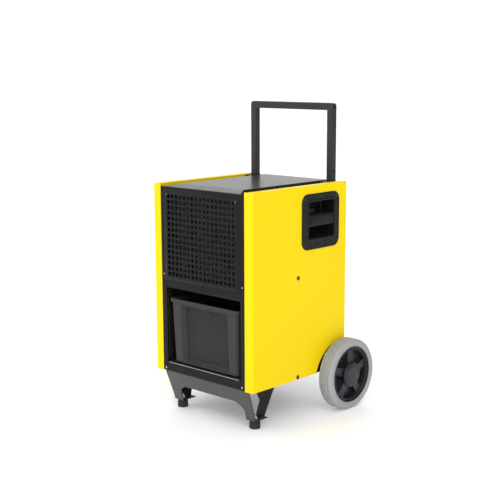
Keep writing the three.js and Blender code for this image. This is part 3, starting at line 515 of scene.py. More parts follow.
def intake_grille():
    """Perforated plate: square holes with rounded corners and rolled edges."""
    low, high = mm_box("intake_grille")
    pitch, size, columns, rows = 16.2, 11.0, 17, 15
    grid_rise = 1.8
    middle_z = (low.z + high.z) / 2 + grid_rise
    front, back = low.y - 0.1, high.y + 0.6
    bm = bmesh.new()
    for row in range(rows):
        for column in range(columns):
            cx = (column - (columns - 1) / 2) * pitch
            cz = middle_z + (row - (rows - 1) / 2) * pitch
            h, p = size / 2, pitch / 2
            rings = []
            for grow, y in ((0.55, front), (0.15, front + 0.15), (0.0, front + 0.6), (0.0, back)):
                loop = rounded_loop(cx - h - grow, cx + h + grow, cz - h - grow, cz + h + grow,
                                    1.9 + grow, 4)
                rings.append([bm.verts.new((u, y, v)) for u, v in loop])
            for first, second in zip(rings, rings[1:]):
                bridge(bm, first, second)
            corners = [bm.verts.new((cx + sx * p, front, cz + sz * p))
                       for sx, sz in ((1, -1), (1, 1), (-1, 1), (-1, -1))]
            loop, n = rings[0], 5
            for k in range(4):
                start, end = k * n + 2, (k + 1) * n + 2
                side = [loop[i % len(loop)] for i in range(start, end + 1)]
                bm.faces.new([corners[k], corners[(k + 1) % 4], *reversed(side)])
    half_w, half_h = columns * pitch / 2, rows * pitch / 2
    loft(bm, [
        [(-half_w, front, middle_z - half_h), (half_w, front, middle_z - half_h),
         (half_w, front, middle_z + half_h), (-half_w, front, middle_z + half_h)],
        [(low.x, front, low.z), (high.x, front, low.z), (high.x, front, high.z), (low.x, front, high.z)],
        [(low.x, back, low.z), (high.x, back, low.z), (high.x, back, high.z), (low.x, back, high.z)],
    ], False, False)
    add_piece("intake_grille_plate", bm, BLACK, "intake_grille", ("intake_grille",), smooth=30)


def air_filter():
    """Filter frame with a woven mesh stretched over it."""
    low, high = mm_box("air_filter")
    refined("air_filter", PLASTIC, 0.6)
    bm = bmesh.new()
    y, r, pitch, inset = (low.y + high.y) / 2, 0.45, 4.0, 7.0
    x = low.x + inset
    while x < high.x - inset:
        rounded_box(bm, (x - r, y - r, low.z + 4), (x + r, y + r, high.z - 4), 0.15, 1)
        x += pitch
    z = low.z + inset
    while z < high.z - inset:
        rounded_box(bm, (low.x + 4, y - r + 0.5, z - r), (high.x - 4, y + r + 0.5, z + r), 0.15, 1)
        z += pitch
    add_piece("air_filter_mesh", bm, MEDIA, "air_filter")


# ---- grip recesses
def grip_recesses():
    low, high = mm_box("grip_recess_right")
    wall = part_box("side_panel_right")[1].x / MM
    y0, y1, z0, z1 = low.y, high.y, low.z, high.z
    mouth = (y0 + 29.5, y1 - 23.0, z0 + 31.5, z1 - 23.5)
    steps = 8

    def outline(inset, x, r=25.0):
        return [(x, u, v) for u, v in
                rounded_loop(y0 + inset, y1 - inset, z0 + inset, z1 - inset, r - inset, steps)]

    def opening(grow, x, r=6.0):
        a, b, c, d = mouth
        return [(x, u, v) for u, v in
                rounded_loop(a - grow, b + grow, c - grow, d + grow, max(r + grow, 1.0), steps)]

    bm = bmesh.new()
    back_x = low.x + 4
    loft(bm, [outline(0, wall + 0.15), outline(0, wall + 1.5), outline(0.5, wall + 2.5),
              outline(1.6, wall + 3.2), outline(3.2, wall + 3.4), outline(4.8, wall + 3.2),
              outline(6.0, wall + 2.8), opening(8.0, wall + 2.8), opening(6.2, wall + 3.0),
              opening(4.6, wall + 3.5), opening(2.6, wall + 3.6), opening(0.9, wall + 2.8),
              opening(0.0, wall + 1.4), opening(-0.6, wall - 8), opening(-1.6, back_x + 8),
              opening(-4.0, back_x + 2), opening(-8.0, back_x, 8.0)], False, True)
    add_pair("grip_moulding", bm, PLASTIC, "grip_recess", smooth=42)

    bar_z = (565.0, 600.0)
    bm = bmesh.new()
    rounded_box(bm, (wall - 17, mouth[0] - 2, bar_z[0]), (wall + 1.6, mouth[1] + 2, bar_z[1]), 4.5, 4)
    rounded_box(bm, (wall - 6, mouth[0] + 8, bar_z[0] + 6), (wall + 3.2, mouth[1] - 8, bar_z[1] - 6),
                1.6, 3)
    rounded_box(bm, (wall - 2, mouth[0] + 14, bar_z[0] + 10), (wall + 4.0, mouth[1] - 14, bar_z[1] - 10),
                1.0, 3)
    rounded_box(bm, (back_x + 3, mouth[0] + 0.5, bar_z[1] - 3), (wall - 16, mouth[0] + 46, bar_z[1] + 16),
                1.6, 3)
    add_pair("grip_bar", bm, PLASTIC, "grip_recess", replaced=False, smooth=42)

    bm = bmesh.new()
    floor_z, ramp_top = mouth[2] + 0.4, bar_z[0] - 2
    ramp = []
    for i in range(17):
        a = radians(90 * i / 16)
        ramp.append((wall - 3 - (wall - 3 - back_x - 1) * sin(a),
                     floor_z + (ramp_top - floor_z) * (1 - cos(a))))
    ramp += [(back_x - 1, ramp_top), (back_x - 1, floor_z - 2), (wall - 3, floor_z - 2)]
    loft(bm, [[(x, y, z) for x, z in ramp] for y in (mouth[0] - 1, mouth[1] + 1)])
    add_pair("grip_ramp", bm, PLASTIC, "grip_recess", replaced=False, smooth=30)

    bm = bmesh.new()
    middle = (mouth[0] + mouth[1]) / 2
    for y, z in ((y0 + 15, z0 + 16), (y1 - 13, z0 + 16), (middle, z0 + 13),
                 (y0 + 15, z1 - 14), (y1 - 13, z1 - 14), (middle, z1 - 11)):
        screw_head(bm, (wall + 2.9, y, z), "x", 2.9, 1.0, 0.36)
    add_pair("grip_screws", bm, DARK_STEEL, "grip_recess", replaced=False, smooth=40)


def panel_screws():
    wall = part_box("side_panel_right")[1].x / MM
    for node in ("panel_screw_middle", "panel_screw_low"):
        at = (wall + 0.3, *middle_of(f"{node}_right")[1:])
        bm = bmesh.new()
        screw_head(bm, at, "x", 5.0, 1.0, 0.5)
        lathe(bm, [(3.0, -0.2), (6.4, -0.2), (6.4, 0.35), (3.0, 0.35)], 28, "x", at, closed=True)
        add_pair(f"{node}_head", bm, DARK_STEEL, node, smooth=40)


# ---- water tank
def smoothstep(edge0, edge1, value):
    t = min(1.0, max(0.0, (value - edge0) / (edge1 - edge0)))
    return t * t * (3 - 2 * t)


def water_tank():
    """Moulded tank: rolled rim, raised side pads on the front and a recessed middle."""
    low, high = mm_box("tank")
    bottom, top, wall, corner = low.z, high.z, 2.5, 9.0
    rows = [bottom, bottom + 0.6, bottom + 2.0, bottom + 4.5]
    while rows[-1] < top - 14:
        rows.append(rows[-1] + (1.5 if rows[-1] > top - 28 or rows[-1] < bottom + 20 else 4.0))
    half_bottom, half_top = 129.0, 135.0
    front_bottom, front_top = 13.0, 6.5
    back_bottom, back_top = 240.0, 248.0
    recess_half, recess_depth, pad_height = 85.0, 11.0, 1.5

    def section(t, grow):
        """The outer rectangle at a share t of the height, grown all round."""
        half = half_bottom + (half_top - half_bottom) * t + grow
        return (-half, half, front_bottom + (front_top - front_bottom) * t - grow,
                back_bottom + (back_top - back_bottom) * t + grow)

    def dense_loop(u0, u1, v0, v1, r, z, relief=True):
        """Rounded rectangle with closely spaced points, pushed out on the front face."""
        points, n = [], 8
        straights = ((u0 + r, v0, u1 - r, v0, 132), (u1, v0 + r, u1, v1 - r, 12),
                     (u1 - r, v1, u0 + r, v1, 12), (u0, v1 - r, u0, v0 + r, 12))
        arcs = ((u1 - r, v0 + r, -90), (u1 - r, v1 - r, 0), (u0 + r, v1 - r, 90), (u0 + r, v0 + r, 180))
        for (ax, ay, bx, by, count), (cx, cy, start) in zip(straights, arcs):
            for i in range(count):
                t = i / count
                points.append((ax + (bx - ax) * t, ay + (by - ay) * t, z))
            for i in range(n):
                a = radians(start + 90 * i / n)
                points.append((cx + r * cos(a), cy + r * sin(a), z))
        if not relief:
            return points
        out = []
        for x, y, z in points:
            if y < v0 + 4:
                recess = 1 - smoothstep(recess_half, recess_half + 12, abs(x))
                recess *= 1 - smoothstep(top - 22, top - 16, z)
                recess *= smoothstep(bottom + 4, bottom + 14, z)
                foot = smoothstep(bottom + 1, bottom + 5, z)
                corner_fade = 1 - smoothstep(u1 - r, u1, abs(x))
                y += (recess_depth * recess - pad_height * (1 - recess) * foot) * corner_fade
            out.append((x, y, z))
        return out

    loops = []
    for z in rows:
        t = (z - bottom) / (top - bottom)
        round_under = 4.0 * (1 - smoothstep(bottom - 2, bottom + 4.5, z))
        a, b, c, d = section(t, -round_under)
        loops.append(dense_loop(a, b, c, d, corner, z))
    for grow, z in ((0.3, top - 10.5), (3.8, top - 10.3), (4.4, top - 9.9), (4.5, top - 9.2),
                    (4.5, top - 1.4), (4.2, top - 0.6), (3.5, top - 0.1), (2.6, top),
                    (-1.3, top), (-2.3, top - 0.4), (-wall, top - 1.4)):
        a, b, c, d = section(1.0, grow)
        loops.append(dense_loop(a, b, c, d, corner + grow * 0.6, z, relief=False))
    for z in reversed([r for r in rows if r > bottom + wall]):
        t = (z - bottom) / (top - bottom)
        a, b, c, d = section(t, -wall)
        loops.append(dense_loop(a, b, c, d, corner - 2, z, relief=z < top - 12))
    a, b, c, d = section(0.0, -wall - 3)
    loops.append(dense_loop(a, b, c, d, corner - 2, bottom + wall, relief=False))
    bm = bmesh.new()
    loft(bm, loops)
    fx, fy, _ = middle_of("tank_float")
    lathe(bm, [(0, bottom + 1), (6, bottom + 1.2), (6, bottom + 3), (3.2, bottom + 4.2), (3.0, bottom + 6),
               (3.0, top - 14), (2.2, top - 12.4), (0, top - 12)], 24, "z", (fx, fy, 0))
    tank = add_piece("tank_moulding", bm, TANK, "tank", ("tank",), smooth=50)
    behind = (TO_ROW @ Vector((0, 30, 0))).y
    paint_faces(tank, TANK_MATTE, lambda face: face.normal.y < -0.9 and face.center.y < behind
                and abs(face.center.x) < (recess_half + 3) * MM
                and (bottom + 8) * MM < face.center.z < (top - 19) * MM)

    bm = bmesh.new()
    base = mm_box("tank_float")[0].z
    lathe(bm, [(3.8, base), (18.5, base), (20, base + 1.5), (20, base + 6), (19.4, base + 7),
               (19.4, base + 9), (20, base + 10), (20, base + 14.5), (18.5, base + 16),
               (3.8, base + 16)], 48, "z", (fx, fy, 0), closed=True)
    add_piece("tank_float_ring", bm, WHITE, "tank_float", ("tank_float",), smooth=40)


# ---- wheels and feet
def wheels():
    """Grooved tyres, spoked rims and hub caps."""
    low, high = mm_box("tyre_right")
    centre = middle_of("tyre_right")
    radius = (high.z - low.z) / 2
    half = (high.x - low.x) / 2
    bore, groove_pitch, crown_curve = 85.0, 6.4, 0.006

    outside = [(bore + 0.2, half - 3.0), (bore + 1.0, half - 1.6), (bore + 2.4, half - 1.2),
               (bore + 3.4, half - 1.8), (bore + 4.6, half - 0.9), (bore + 7.5, half - 0.1),
               (bore + 11.0, half), (radius - 7.5, half - 0.7), (radius - 4.8, half - 2.0),
               (radius - 2.5, half - 4.0), (radius - 1.0, half - 6.4), (radius - 0.4, half - 8.2)]
    tread = []
    for k in range(-2, 3):
        g = -k * groove_pitch
        crown = radius - crown_curve * g * g
        tread += [(crown, g + 1.4), (crown - 0.4, g + 0.95), (crown - 2.0, g + 0.6),
                  (crown - 2.0, g - 0.6), (crown - 0.4, g - 0.95), (crown, g - 1.4)]
    inside = [(r, -h) for r, h in reversed(outside)]
    bm = bmesh.new()
    lathe(bm, outside + tread + inside, 112, "x", centre, closed=True)
    add_pair("tyre_tread", bm, TYRE, "tyre", smooth=50)

    lip = half - 3.0
    bm = bmesh.new()
    lathe(bm, [(84.6, -lip + 0.4), (84.6, lip - 0.6), (84.0, lip + 0.6), (82.8, lip + 1.0),
               (81.6, lip + 0.5), (81.0, lip - 0.8), (80.7, lip - 3.6), (79.8, lip - 4.2),
               (78.2, lip - 4.2), (77.6, lip - 3.6), (77.3, lip - 2.8), (76.4, lip - 2.3),
               (75.2, lip - 2.7), (74.4, lip - 4.0), (73.4, lip - 8.5), (73.2, -lip + 9.0),
               (74.6, -lip + 7.0), (78.6, -lip + 1.4), (80.2, -lip + 0.1)], 96, "x", centre, closed=True)
    lathe(bm, [(7.4, -lip - 1.5), (22.5, -lip - 1.5), (24.0, -lip), (26.0, -lip + 10), (27.0, lip - 9),
               (29.0, lip - 5), (32.0, lip - 2.4), (31.0, lip - 1.4), (7.4, lip - 1.4)],
          64, "x", centre, closed=True)
    lathe(bm, [(24.0, -3.6), (76.0, -4.4), (76.0, -1.6), (69.0, -1.2), (67.4, 1.6), (64.6, 1.6),
               (63.0, -1.0), (24.0, -0.4)], 96, "x", centre, closed=True)
    spokes = 5
    for i in range(spokes):
        spin = Matrix.Rotation(2 * pi * i / spokes, 4, "X")
        sections = []
        for r, width, face in ((27.0, 27.0, lip - 3.4), (33.0, 25.6, lip - 3.8), (45.0, 24.0, lip - 5.2),
                               (60.0, 23.4, lip - 6.4), (70.0, 24.2, lip - 6.8), (75.0, 27.0, lip - 6.4)):
            w, back = width / 2, -3.0
            shape = [(-w, face - 1.0), (-w + 0.9, face), (-w + 3.4, face), (-w + 4.8, face - 1.5),
                     (w - 4.8, face - 1.5), (w - 3.4, face), (w - 0.9, face), (w, face - 1.0),
                     (w + 0.4, back), (-w - 0.4, back)]
            sections.append([Vector(centre) + spin @ Vector((x, u, r)) for u, x in shape])
        loft(bm, sections)
    add_pair("rim_spokes", bm, RIM, "rim", smooth=35)

    bm = bmesh.new()
    cap = [(0, 5.0), (3.0, 4.9), (4.4, 5.6), (6.0, 5.8), (22.0, 5.4), (26.0, 4.9), (27.2, 4.1),
           (28.2, 4.1), (29.4, 4.9), (33.0, 4.5), (36.0, 3.2), (37.6, 1.6), (38.0, 0.0),
           (37.4, -0.4), (0, -0.4)]
    lathe(bm, [(r, h + lip - 1.0) for r, h in cap], 80, "x", centre)
    add_pair("hub_cap_disc", bm, RIM, "hub_cap", smooth=30)


def feet():
    x, y, _ = middle_of("foot_right")
    at, top = (x, y, 0.0), mm_box("foot_right")[1].z
    bm = bmesh.new()
    lathe(bm, [(0, 0.9), (9, 0.9), (10, 0), (14.4, 0), (15.6, 0.9), (16, 2.4), (15.8, 9.6), (15.0, 10.4),
               (15.0, 11.6), (15.8, 12.4), (15.6, 18.0), (14.6, 19.0), (14.6, 20.2), (15.6, 21.2),
               (15.6, top - 0.8), (14.8, top), (0, top)], 56, "z", at)
    add_pair("foot_rubber", bm, RUBBER, "foot", smooth=35)
    bm = bmesh.new()
    plate = top + 2.9

    def hexagon(angle, radius, _):
        return radius if radius < 5.5 else flat_sided(angle, 6, radius)
    lathe(bm, [(0, plate), (10.5, plate), (10.5, plate + 1.4), (0, plate + 1.4)], 36, "z", at)
    lathe(bm, [(0, plate + 1.2), (7.6, plate + 1.2), (8.1, plate + 1.9), (8.1, plate + 6.4),
               (7.3, plate + 7.4), (4.2, plate + 7.6), (4.0, plate + 12.6), (3.2, plate + 13.6),
               (0, plate + 13.6)], 36, "z", at, ripple=hexagon)
    add_pair("foot_nut", bm, ZINC, "foot", replaced=False, smooth=30)


# ---- handle
def push_handle():
    """Welded loop of rounded rectangular tube with closing plugs, and its two pivot lugs."""
    low, high = mm_box("handle")
    half_w, top, foot = high.x, high.z, low.z
    tube_w, tube_d, y1 = 22.0, 20.0, high.y
    y0 = y1 - tube_d
    r_out, r_in, bar, edge = 9.0, 1.6, 21.0, 3.0
    pivot_y, pivot_z, lug_r = 370.0, 673.5, 8.4
    plug_z = (top - 12.5, 712.0)

    def arc(cx, cz, r, a0, a1, steps):
        return [(cx + r * cos(radians(a0 + (a1 - a0) * i / steps)),
                 cz + r * sin(radians(a0 + (a1 - a0) * i / steps))) for i in range(steps + 1)]
    ins = half_w - tube_w
    path_out = [(half_w, foot)] + arc(half_w - r_out, top - r_out, r_out, 0, 90, 8) \
        + arc(-half_w + r_out, top - r_out, r_out, 90, 180, 8) + [(-half_w, foot)]
    path_in = [(ins, foot)] + arc(ins - r_in, top - bar - r_in, r_in, 0, 90, 8) \
        + arc(-ins + r_in, top - bar - r_in, r_in, 90, 180, 8) + [(-ins, foot)]
    bm = bmesh.new()
    loops = []
    for (xo, zo), (xi, zi) in zip(path_out, path_in):
        across = Vector((xi - xo, 0, zi - zo))
        length = across.length
        across.normalize()
        loops.append([Vector((xo, v, zo)) + across * u
                      for u, v in rounded_loop(0, length, y0, y1, edge, 5)])
    loft(bm, loops)
    add_piece("handle_tube", bm, HANDLE_PAINT, "handle", ("handle",), smooth=35)

    bm = bmesh.new()
    for side in (-1, 1):
        x0, x1 = sorted((side * (ins + 0.6), side * (half_w - 0.6)))
        shape = [(y0 + 3, pivot_z + lug_r)] + [
            (pivot_y - lug_r * sin(radians(a)), pivot_z + lug_r * cos(radians(a)))
            for a in range(0, 181, 12)] + [(y0 + 3, pivot_z - lug_r + 1)]
        loft(bm, [[(x, y, z) for y, z in shape] for x in (x0, x1)])
    sharp = [e for e in bm.edges if e.calc_face_angle(0) > radians(50)]
    bmesh.ops.bevel(bm, geom=sharp, offset=0.6, segments=2, profile=0.5, affect="EDGES",
                    clamp_overlap=False)
    add_piece("handle_lugs", bm, HANDLE_PAINT, "handle", smooth=35)

    bm = bmesh.new()
    for side in (-1, 1):
        upper, lower = [(side * (half_w + 0.05), (y0 + y1) / 2, z) for z in plug_z]
        lathe(bm, [(0, side * 1.1), (4.2, side * 1.0), (5.6, side * 0.6), (6.2, side * 0.1),
                   (6.2, side * -1.0), (0, side * -1.0)], 32, "x", upper)
        lathe(bm, [(0, side * 1.0), (4.2, side * 1.0), (5.6, side * 0.6), (6.0, side * -1.0),
                   (0, side * -1.0)], 32, "x", lower)
    add_piece("handle_plugs", bm, PLASTIC, "handle", smooth=35)


# ---- rear
def rear_outlet():
    """Outlet plate with a folded hood over every slot."""
    low, high = mm_box("outlet_grille")
    refined("outlet_grille", BLACK, 0.35)
    bm = bmesh.new()
    face = high.y - 0.2
    rows, row_pitch, lowest_z = 10, 19, 448.4
    for row in range(rows):
        z = lowest_z + row * row_pitch
        for x0, x1 in ((-92.0, -4.0), (4.0, 92.0)):
            profile = [(face, z + 1.2), (face + 1.6, z + 0.6), (face + 5.2, z - 4.2),
                       (face + 6.6, z - 7.6), (face + 5.9, z - 7.9), (face + 4.4, z - 4.6),
                       (face + 1.0, z - 0.6), (face - 0.6, z - 0.4)]
            stations = []
            for x, shrink in ((x0, 0.15), (x0 + 1.6, 0.7), (x0 + 4.0, 1.0),
                              (x1 - 4.0, 1.0), (x1 - 1.6, 0.7), (x1, 0.15)):
                stations.append([(x, face + (y - face) * shrink, z + (h - z) * (0.4 + 0.6 * shrink))
                                 for y, h in profile])
            loft(bm, stations)
    add_piece("outlet_hoods", bm, BLACK, "outlet_grille", smooth=45)

    bm = bmesh.new()
    cover_low, cover_high = mm_box("rear_cover")
    for x in (cover_low.x + 12, 0.0, cover_high.x - 12):
        for z in (cover_low.z + 12, cover_high.z - 12):
            screw_head(bm, (x, cover_high.y, z), "y", 3.4, 1.0)
    for x in (low.x + 6, high.x - 6):
        for z in (low.z + 5, high.z - 5):
            screw_head(bm, (x, high.y, z), "y", 2.8, 1.0)
    add_piece("rear_screws", bm, ZINC, "rear_cover", smooth=40)


def humidistat(face, seat):
    """Fluted knob with its pointer, and the scale printed round it."""
    kx, _, kz = middle_of("humidistat_knob")
    bm = bmesh.new()

    def fluted(angle, radius, height):
        if 12.0 < radius < 15.5 and height > 7.0:
            return radius - 0.55 * (0.5 + 0.5 * cos(18 * angle))
        return radius
    lathe(bm, [(0, 3), (17.4, 3), (18, 3.6), (18, 5.4), (17.2, 6.4), (15.2, 7.4), (14.4, 9.0),
               (13.6, 17.0), (12.8, 18.4), (11.2, 19.0), (9.0, 18.7), (0, 18.6)],
          108, "y", (kx, seat, kz), ripple=fluted)
    lathe(bm, [(0, -7.5), (4, -7.5), (4, 4), (0, 4)], 24, "y", (kx, seat, kz))
    add_piece("humidistat_knob_cap", bm, PLASTIC, "humidistat_knob", ("humidistat_knob",), smooth=35)
    bm = bmesh.new()
    rounded_box(bm, (kx - 0.9, seat + 18.2, kz + 2.5), (kx + 0.9, seat + 19.5, kz + 12.2), 0.4, 2)
    add_piece("humidistat_pointer", bm, MARKING, "humidistat_knob", smooth=35)
    bm = bmesh.new()
    steps = 12
    for i in range(steps + 1):
        a = radians(90 - 270 * i / steps)
        inner, outer = 20.0, 22.4 if i % 3 else 24.2
        turn = Matrix.Rotation(-a, 3, "Y")
        rounded_box(bm, (inner, 0, -0.4), (outer, 0.25, 0.4), 0.1, 1, turn=turn,
                    about=Vector((kx, face + 0.05, kz)) + turn @ Vector(((inner + outer) / 2, 0, 0)))
    add_piece("humidistat_scale", bm, MARKING, "control_plate", smooth=35)


def power_switch(face):
    refined("power_switch", PLASTIC, 0.8, 3)
    sx, _, sz = middle_of("power_switch")
    bm = bmesh.new()
    loops = []
    for grow, y in ((0.9, face - 0.3), (0.9, face + 1.3), (1.4, face + 1.7), (2.8, face + 1.7),
                    (3.4, face + 1.2), (3.4, face - 0.3)):
        loops.append([(u, y, v) for u, v in rounded_loop(
            sx - 8 - grow, sx + 8 + grow, sz - 13 - grow, sz + 13 + grow, 1.2 + grow, 4)])
    loft(bm, loops, False, False)
    add_piece("power_switch_surround", bm, PLASTIC, "control_plate", smooth=35)


def hour_meter():
    meter_low, meter_high = mm_box("hour_meter")
    mx, _, mz = middle_of("hour_meter")
    bm = bmesh.new()
    front = meter_high.y
    frame_loops = []
    for inset, y in ((0.0, front - 3), (0.0, front - 0.9), (0.7, front), (3.0, front),
                     (3.6, front - 0.9), (3.6, front - 1.6)):
        frame_loops.append([(u, y, v) for u, v in rounded_loop(
            meter_low.x + inset, meter_high.x - inset, meter_low.z + inset, meter_high.z - inset, 2.2, 4)])
    loft(bm, frame_loops, False, True)
    rounded_box(bm, (mx - 12, meter_low.y, mz - 7), (mx + 12, front - 2.4, mz + 7), 0.8, 2)
    add_piece("hour_meter_case", bm, WHITE, "hour_meter", ("hour_meter",), smooth=35)
    bm = bmesh.new()
    for i in range(6):
        x = mx - 9.6 + i * 3.85
        rounded_box(bm, (x - 1.7, front - 1.9, mz - 3.4), (x + 1.7, front - 0.95, mz + 3.4), 0.3, 2)
    add_piece("hour_meter_drums", bm, METER_GLASS, "hour_meter", smooth=35)


def indicator_lens(seat):
    lx, _, lz = middle_of("indicator_lens")
    bm = bmesh.new()
    lathe(bm, [(0, -4), (3.4, -4), (3.4, 2.2), (6.0, 2.2), (6.2, 2.8), (6.0, 4.0), (5.2, 5.6), (3.8, 6.8),
               (2.0, 7.5), (0, 7.8)], 40, "y", (lx, seat, lz))
    add_piece("indicator_dome", bm, LENS, "indicator_lens", ("indicator_lens",), smooth=45)


def power_inlet():
    ix, _, iz = middle_of("power_inlet")
    y = mm_box("power_inlet")[0].y + 8.0
    bm = bmesh.new()

    def hexagon(angle, radius, height):
        return flat_sided(angle, 6, radius) if 11.0 < radius and 1.5 < height < 9.0 else radius
    lathe(bm, [(4.5, -6), (8, -6), (8, 1.8), (12.6, 1.8), (13.2, 2.4), (13.2, 6.6), (12.4, 7.6), (10.2, 8.4),
               (9.8, 9.4), (10.2, 10.2), (9.8, 11.0), (10.0, 12.0), (9.2, 15.0), (8.0, 16.0), (5.4, 16.0),
               (4.5, 15.2)], 72, "y", (ix, y, iz), closed=True, ripple=hexagon)
    lathe(bm, [(0, -6), (5, -6), (5, 0.5), (0, 0.5)], 24, "y", (ix, y, iz))
    add_piece("power_inlet_gland", bm, PLASTIC, "power_inlet", ("power_inlet",), smooth=30)


def rear_controls():
    refined("control_plate", PLASTIC, 0.5, 3)
    face = mm_box("control_plate")[1].y
    seat = face - 2.0
    humidistat(face, seat)
    power_switch(face)
    hour_meter()
    indicator_lens(seat)
    power_inlet()


# ---- inside
def coil(node, name):
    """Pack of thin fins on copper tubes with return bends."""
    low, high = mm_box(node)
    bm = bmesh.new()
    count = 88
    pitch = (high.x - low.x - 8) / (count - 1)
    for i in range(count):
        x = low.x + 4 + i * pitch
        rounded_box(bm, (x - 0.16, low.y, low.z + 1), (x + 0.16, high.y, high.z - 1), 0.05, 1)
    for x in (low.x, high.x - 1.6):
        rounded_box(bm, (x, low.y - 1, low.z), (x + 1.6, high.y + 1, high.z), 0.4, 2)
    add_piece(f"{name}_fins", bm, FIN, node, (node,), smooth=30)
    bm = bmesh.new()
    y = (low.y + high.y) / 2
    rows = 10
    step = (high.z - low.z) / rows
    for i in range(rows):
        z = low.z + step * (i + 0.5)
        lathe(bm, [(0, low.x - 1), (4.8, low.x - 1), (4.8, high.x + 1), (0, high.x + 1)], 16, "x", (0, y, z))
        if i == rows - 1:
            continue
        side = high.x + 1 if i % 2 == 0 else low.x - 1
        out = 1 if i % 2 == 0 else -1
        bend = []
        for k in range(9):
            a = radians(-90 + 180 * k / 8)
            cx, cz = cos(a) * step / 2 * 0.7 * out, sin(a) * step / 2
            ring = []
            for j in range(12):
                b = 2 * pi * j / 12
                radial = 4.8 * cos(b)
                ring.append((side + cx + radial * cos(a) * out, y + 4.8 * sin(b),
                             z + step / 2 + cz + radial * sin(a)))
            bend.append(ring)
        loft(bm, bend)
    add_piece(f"{name}_tubes", bm, COPPER, node, smooth=40)


def refrigeration():
    coil("evaporator", "evaporator")
    coil("condenser", "condenser")
    refined("drip_tray", WHITE, 0.5)
    refined("drain_spout", RUBBER, 0.4)
    refined("filter_drier", COPPER, 0.0, smooth=60)
    for node in ("suction_pipe", "discharge_pipe"):
        refined(node, COPPER, 0.0, smooth=70)
    for i in (1, 2, 3):
        refined(f"compressor_grommet_{i}", RUBBER, 0.8, 3)
    low, high = mm_box("compressor")
    x, y, _ = middle_of("compressor")
    bm = bmesh.new()
    lathe(bm, [(0, 136), (36, 136), (44, 139), (50, 146), (52.6, 154), (53, 160), (53, 205), (54.4, 206.5),
               (55, 208.5), (55, 213.5), (54.4, 215.5), (53, 217), (53, 258), (51, 270), (46, 281),
               (38, 290), (26, 296), (12, 299), (0, 300)], 72, "z", (x, y, 0))
    rounded_box(bm, (low.x, low.y, low.z), (high.x, high.y, low.z + 3), 1.0, 2)
    rounded_box(bm, (x + 30, y - 17, 222), (x + 52.5, y + 17, 262), 3.0, 3)
    for angle in range(0, 360, 90):
        a = radians(angle + 45)
        lathe(bm, [(0, 137), (5, 137), (5, 141), (0, 141.5)], 24, "z",
              (x + 55 * cos(a) * 0.78, y + 55 * sin(a) * 0.78, 0))
    add_piece("compressor_shell", bm, DARK_STEEL, "compressor", ("compressor",), smooth=35)
    refined("electrical_box", WHITE, 1.2, 3)
    refined("run_capacitor", CAN, 1.5, 3)


def fan():
    refined("fan_shroud", INNER_BLACK, 0.4, smooth=40)
    refined("motor_bracket", ZINC, 0.5)
    x, _, z = middle_of("fan_motor")
    bm = bmesh.new()

    def finned(angle, radius, height):
        if 37.5 < radius and 297 < height < 314:
            return radius - 1.4 * (0.5 + 0.5 * cos(24 * angle))
        return radius
    lathe(bm, [(0, 286), (28, 286), (33, 287.5), (37, 292), (38, 295), (38, 298), (38, 313), (38, 316),
               (38, 337), (37, 340), (34, 341.5), (14, 345), (5, 345), (5, 338), (0, 338)],
          96, "y", (x, 0, z), ripple=finned)
    add_piece("fan_motor_case", bm, DARK_STEEL, "fan_motor", ("fan_motor",), smooth=35)

    mid_y, root_r, tip_r, blades = 357.0, 25.5, 91.0, 6
    bm = bmesh.new()
    lathe(bm, [(0, 346.8), (26.5, 346.8), (28, 348.4), (28, 364), (26.5, 367), (22, 368), (6, 368), (0, 368)],
          64, "y", (x, 0, z))
    lathe(bm, [(0, 336), (4, 336), (4, 348), (0, 348)], 24, "y", (x, 0, z))
    for i in range(blades):
        spin = Matrix.Rotation(2 * pi * i / blades, 3, "Y")
        stations = []
        for k in range(9):
            r = root_r + (tip_r - root_r) * k / 8
            chord = 15.0 + 5.5 * sin(pi * min(1.0, k / 8 + 0.15) * 0.8)
            pitch = radians(40 - 14 * k / 8)
            sweep = 7.0 * (k / 8) ** 2
            upper, lower = [], []
            for j in range(9):
                t = -1 + 2 * j / 8
                camber = 2.2 * (1 - t * t)
                thick = 0.9 * (1 - 0.8 * t * t) + 0.15
                along = chord * t
                for v, target in ((camber + thick, upper), (camber - thick, lower)):
                    target.append(Vector((sweep + along * cos(pitch) - v * sin(pitch),
                                          (along * sin(pitch) + v * cos(pitch)) * 0.82, r)))
            stations.append([Vector((x, mid_y, z)) + spin @ p for p in upper + lower[::-1]])
        loft(bm, stations)
    add_piece("fan_rotor_blades", bm, PLASTIC, "fan_rotor", ("fan_rotor",), smooth=40)


cabinet_shells()
front_bezel()
intake_grille()
air_filter()
grip_recesses()
panel_screws()
water_tank()
wheels()
feet()
push_handle()
rear_outlet()
rear_controls()
refrigeration()
fan()


# ---- stage
def aim(obj, direction, roll=0.0):
    """Turns a light or the camera to look along a direction."""
    obj.rotation_mode = "QUATERNION"
    obj.rotation_quaternion = (direction.to_track_quat("-Z", "Y")
                               @ Matrix.Rotation(roll, 3, "Z").to_quaternion())


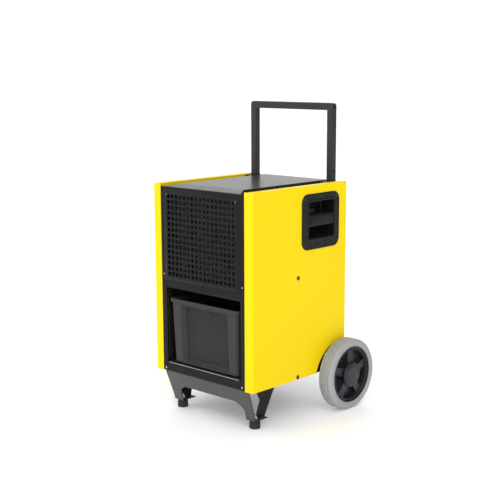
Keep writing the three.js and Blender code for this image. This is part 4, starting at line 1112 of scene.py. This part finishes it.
def stage():
    """Pale floor, soft studio light and the camera at the photograph's angle."""
    scene.view_settings.view_transform = "Standard"
    floor_material = surface("studio_floor", (0.93, 0.93, 0.93), 0.6, specular=0.1, mottle=0.01,
                             rough_spread=0.04, grain=300.0, grain_depth=0.00005)
    shader = next(n for n in floor_material.node_tree.nodes if n.type == "BSDF_PRINCIPLED")
    shader.inputs["Emission Color"].default_value = (1.0, 1.0, 1.0, 1.0)
    shader.inputs["Emission Strength"].default_value = 0.16
    mesh = bpy.data.meshes.new("studio_floor")
    reach = 14.0
    mesh.from_pydata([(-reach, -reach, 0), (reach, -reach, 0), (reach, reach, 0), (-reach, reach, 0)],
                     [], [(0, 1, 2, 3)])
    mesh.materials.append(floor_material)
    floor = new_object("studio_floor", mesh)

    world = bpy.data.worlds.new("studio")
    world.use_nodes = True
    tree = world.node_tree
    background = tree.nodes["Background"]
    background.inputs["Color"].default_value = (1.0, 1.0, 1.0, 1.0)
    # The world darkens toward the back right, where the photo's reflections are dark.
    toward_dark = add_node(tree, "ShaderNodeVectorMath", operation="DOT_PRODUCT")
    toward_dark.inputs[1].default_value = (0.68, 0.73, 0.0)
    falloff = tree.nodes.new("ShaderNodeMapRange")
    falloff.interpolation_type = "SMOOTHSTEP"
    for socket, value in (("From Min", 0.40), ("From Max", 0.80), ("To Min", 1.1), ("To Max", 0.06)):
        falloff.inputs[socket].default_value = value
    direction = tree.nodes.new("ShaderNodeTexCoord").outputs["Generated"]
    tree.links.new(direction, toward_dark.inputs[0])
    tree.links.new(toward_dark.outputs["Value"], falloff.inputs["Value"])
    tree.links.new(falloff.outputs["Result"], background.inputs["Strength"])
    scene.world = world

    low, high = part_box("side_panel_right")
    target = Vector((0.0, (low.y + high.y) / 2, (low.z + high.z) / 2))

    def softbox(name, place, size, watts):
        light = bpy.data.lights.new(name, "AREA")
        light.shape, light.size, light.energy = "SQUARE", size, watts
        obj = new_object(name, light)
        obj.location = place
        aim(obj, target - Vector(place))

    softbox("key", (2.6, -2.2, 2.6), 1.6, 26.0)
    softbox("fill", (-2.4, -2.6, 1.4), 1.8, 2.0)
    softbox("rear", (-1.0, 2.8, 2.2), 1.8, 8.0)
    sky = bpy.data.lights.new("sky", "SUN")
    sky.energy, sky.angle = 0.35, radians(40)
    aim(new_object("sky", sky), Vector((-0.6, 0.4, -0.75)))

    azimuth, elevation, roll = radians(42.95), radians(11.15), radians(-0.18)
    distance = 3.186
    back = Vector((sin(azimuth) * cos(elevation), -cos(azimuth) * cos(elevation),
                   sin(elevation)))
    data = bpy.data.cameras.new("camera")
    data.sensor_width, data.lens = 36.0, 76.85
    data.shift_x, data.shift_y = -0.002, 0.051
    data.clip_start, data.clip_end = 0.05, 60.0
    camera = new_object("camera", data)
    camera.location = target + back * distance
    aim(camera, -back, roll)
    scene.camera = camera


stage()
